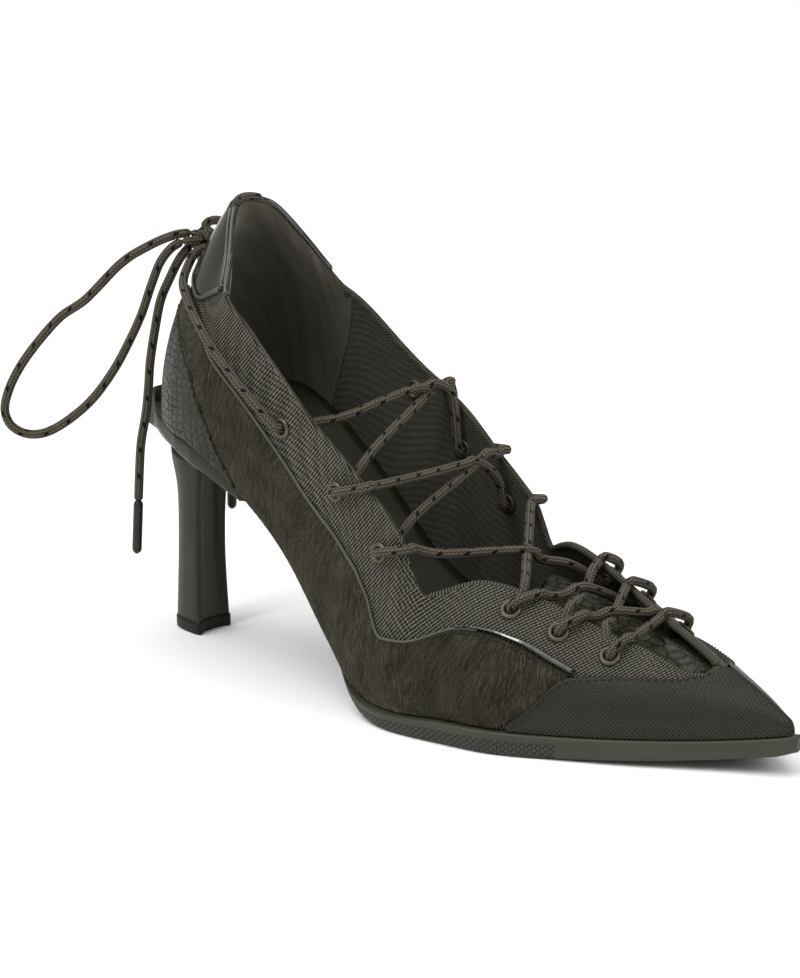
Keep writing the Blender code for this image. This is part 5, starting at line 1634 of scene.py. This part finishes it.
HEEL_SIDE = (
    # plan from the back to the front: share of the length, share of the half width
    (0.0, 0.0), (0.03, 0.28), (0.12, 0.55), (0.38, 0.80), (0.70, 0.95), (0.90, 1.0), (0.97, 0.98),
    (1.0, 0.90),
)
HEEL_SCOOP = ((0.45, 0.72), (0.90, 0.48), (1.0, 0.25), (1.0, 0.0))
LIFT_PROFILE = (
    # height, how far the edge is drawn in
    (0.0, 0.0004), (0.0003, 0.0001), (0.0012, 0.0), (0.0032, 0.0), (LIFT_HEIGHT - 0.0001, 0.0001),
    (LIFT_HEIGHT, 0.0004),
)


def heel_ring(shares, grow=0.0):
    """Plan of the heel: a rounded wedge with a hollow front."""
    back, front, half, hollow = (k * size for k, size in zip(shares, (LENGTH, LENGTH, BALL_WIDTH, LENGTH)))
    back, front, half = back - grow, front + grow, half + grow
    reach = front - back
    right = [np.array((back + reach * a, half * b)) for a, b in HEEL_SIDE]
    right += [np.array((front - hollow * a, half * b)) for a, b in HEEL_SCOOP]
    mirrored = [p * np.array((1.0, -1.0)) for p in reversed(right[1:-1])]
    ring = [np.array((*p, 0.0)) for p in right + mirrored]
    closed = flow([ring[-1], *ring, ring[0], ring[1]], 0.0011)
    first = np.argmin(np.linalg.norm(closed[:12] - ring[0], axis=1))
    at = distances(closed[first:])
    end = at[-1] - np.linalg.norm(ring[1] - ring[0])
    return points_at(np.linspace(0.0, end, 73)[:-1], at, closed[first:, :2])


def build_heel():
    """A slim heel that stands on its top lift and widens into the seat's keel."""
    heights = np.linspace(0.0, HEEL_ROWS[-1, 0], 40)
    rows = []
    for height in heights:
        plan = heel_ring([eased(HEEL_ROWS, height, 0.04, 3, column) for column in range(1, 5)])
        z = np.full(len(plan), max(height * SEAT_HEIGHT, LIFT_HEIGHT + 0.0001))
        under = seat_bottom(plan[:, 0], plan[:, 1]) - 0.0001
        z = np.minimum(z, under) if height < heights[-1] else under
        rows.append(np.column_stack([plan, z]))
    grid = np.array(rows) + ORIGIN
    piece = one_grid("heel_column", grid, HEEL)
    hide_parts("heel")
    plan = heel_ring(HEEL_ROWS[0, 1:], grow=0.0002)
    away = plan - plan.mean(axis=0)
    away /= np.linalg.norm(away, axis=1, keepdims=True)
    rows = [np.column_stack([plan - shrink * away, np.full(len(plan), z)]) for z, shrink in LIFT_PROFILE]
    lift = one_grid("top_lift_rubber", np.array(rows) + ORIGIN, LIFT)
    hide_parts("top_lift")


STITCH_RISES = np.array((-0.9, 0.4, 0.75, 0.75, 0.4, -0.9))  # of the radius, along one stitch
STITCH_SINK = 0.0001
SEAM_PITCH = 0.0024


def stitches(name, points, normals, pitch, radius):
    """A row of sewn stitches along points on a surface: short threads that dip at both ends."""
    at = distances(points)
    grids = []
    for number in range(int(at[-1] / pitch)):
        wanted = np.linspace(pitch * (number + 0.08), pitch * (number + 0.80), 6)
        ups = points_at(wanted, at, normals)
        spots = points_at(wanted, at, points) + ups * (STITCH_RISES * radius - STITCH_SINK)[:, None]
        forward = unit(spots[-1] - spots[0])
        rings = []
        for spot, up in zip(spots, ups):
            across = unit(np.cross(forward, up))
            turns = 2 * math.pi * np.arange(5) / 5
            rings.append(spot + radius * (np.cos(turns)[:, None] * across + np.sin(turns)[:, None] * up))
        grid = np.array(rings)
        grids.append((grid, lengths_along(grid), 0))
    return grid_object(name, grids, [THREAD], loop=True)


def seam_along(name, side, place, height, lift=OUTSIDE, pitch=SEAM_PITCH, radius=0.00022):
    points = skin(side, place, height, lift)
    piece = stitches(name, points, last_normal(side, place, height), pitch, radius)


def build_stitching():
    for label, side in SIDES:
        place = np.linspace(11.35, 14.0, 90)
        below = cap_top(side, place) - 0.035
        seam_along(f"cap_stitches_{label}", side, place, below, OUTSIDE + 0.0001, 0.0022, 0.0003)
        place = np.linspace(8.9, 11.9, 90)
        seam_along(f"piping_stitches_{label}", side, place, line(HAIR_TOP, place) - 0.02)
        place = np.linspace(1.6, 5.0, 60)
        seam_along(f"counter_stitches_{label}", side, place, line(COUNTER_TOP, place) - 0.025)


def build_lining_seam():
    """A narrow welt where the suede meets the ribbed lining."""
    for label, side in SIDES:
        height = np.linspace(0.06, 0.93, 60)
        welt = skin(side, np.full(60, LINING_SEAM), height, -WALL - 0.0001)
        tube(f"lining_seam_{label}", welt, 0.00055, SUEDE, sides=8)


def build_stage():
    mesh = bpy.data.meshes.new("floor")
    corners = [(x * FLOOR_REACH, y * FLOOR_REACH, 0.0) for x, y in ((-1, -1), (1, -1), (1, 1), (-1, 1))]
    mesh.from_pydata(corners, [], [(0, 1, 2, 3)])
    mesh.materials.append(floor_material())
    floor = bpy.data.objects.new("floor", mesh)
    COLLECTION.objects.link(floor)
    world = bpy.data.worlds.new("studio")
    world.use_nodes = True
    sky = world.node_tree.nodes["Background"].inputs
    sky["Color"].default_value = (1.0, 1.0, 1.0, 1.0)
    sky["Strength"].default_value = WORLD_LIGHT
    bpy.context.scene.world = world


OVERHEAD_PLACE = (-0.2, -0.35, 1.5)
OVERHEAD_LIGHT = 2.35
OVERHEAD_ANGLE = 70.0
# Soft boxes: name, place, width, height and power in watts
SOFT_BOXES = (
    ("key", (-0.15, -1.2, 1.15), 0.22, 0.9, 7.0),
    ("front", (1.10, 0.25, 0.80), 0.35, 0.9, 6.0),
    ("strip", (-0.60, -1.05, 0.50), 0.05, 0.9, 1.6),
)


def point_at(light, place, target):
    light.location = place
    light.rotation_mode = "QUATERNION"
    light.rotation_quaternion = (Vector(target) - Vector(place)).to_track_quat("-Z", "Y")
    COLLECTION.objects.link(light)


def build_lights():
    """A very soft light from overhead, which keeps the floor white, and three soft boxes for the gloss."""
    sky = bpy.data.lights.new("overhead", "SUN")
    sky.energy = OVERHEAD_LIGHT
    sky.angle = math.radians(OVERHEAD_ANGLE)
    point_at(bpy.data.objects.new("overhead", sky), OVERHEAD_PLACE, (0.0, 0.0, 0.0))
    for name, place, width, height, power in SOFT_BOXES:
        data = bpy.data.lights.new(name, "AREA")
        data.shape = "RECTANGLE"
        data.size = width
        data.size_y = height
        data.energy = power
        point_at(bpy.data.objects.new(name, data), place, (0.0, 0.0, 0.05))
    bpy.context.scene.view_settings.view_transform = "Standard"


build_camera()
build_bow()
build_lace()
build_knot()
build_upper()
build_eyelets()
build_counter()
build_tab()
build_edges()
build_quarters()
build_cap()
build_piping()
build_tongue()
build_insole()
build_sole()
build_heel_seat()
build_heel()
build_stitching()
build_lining_seam()
build_stage()
build_lights()
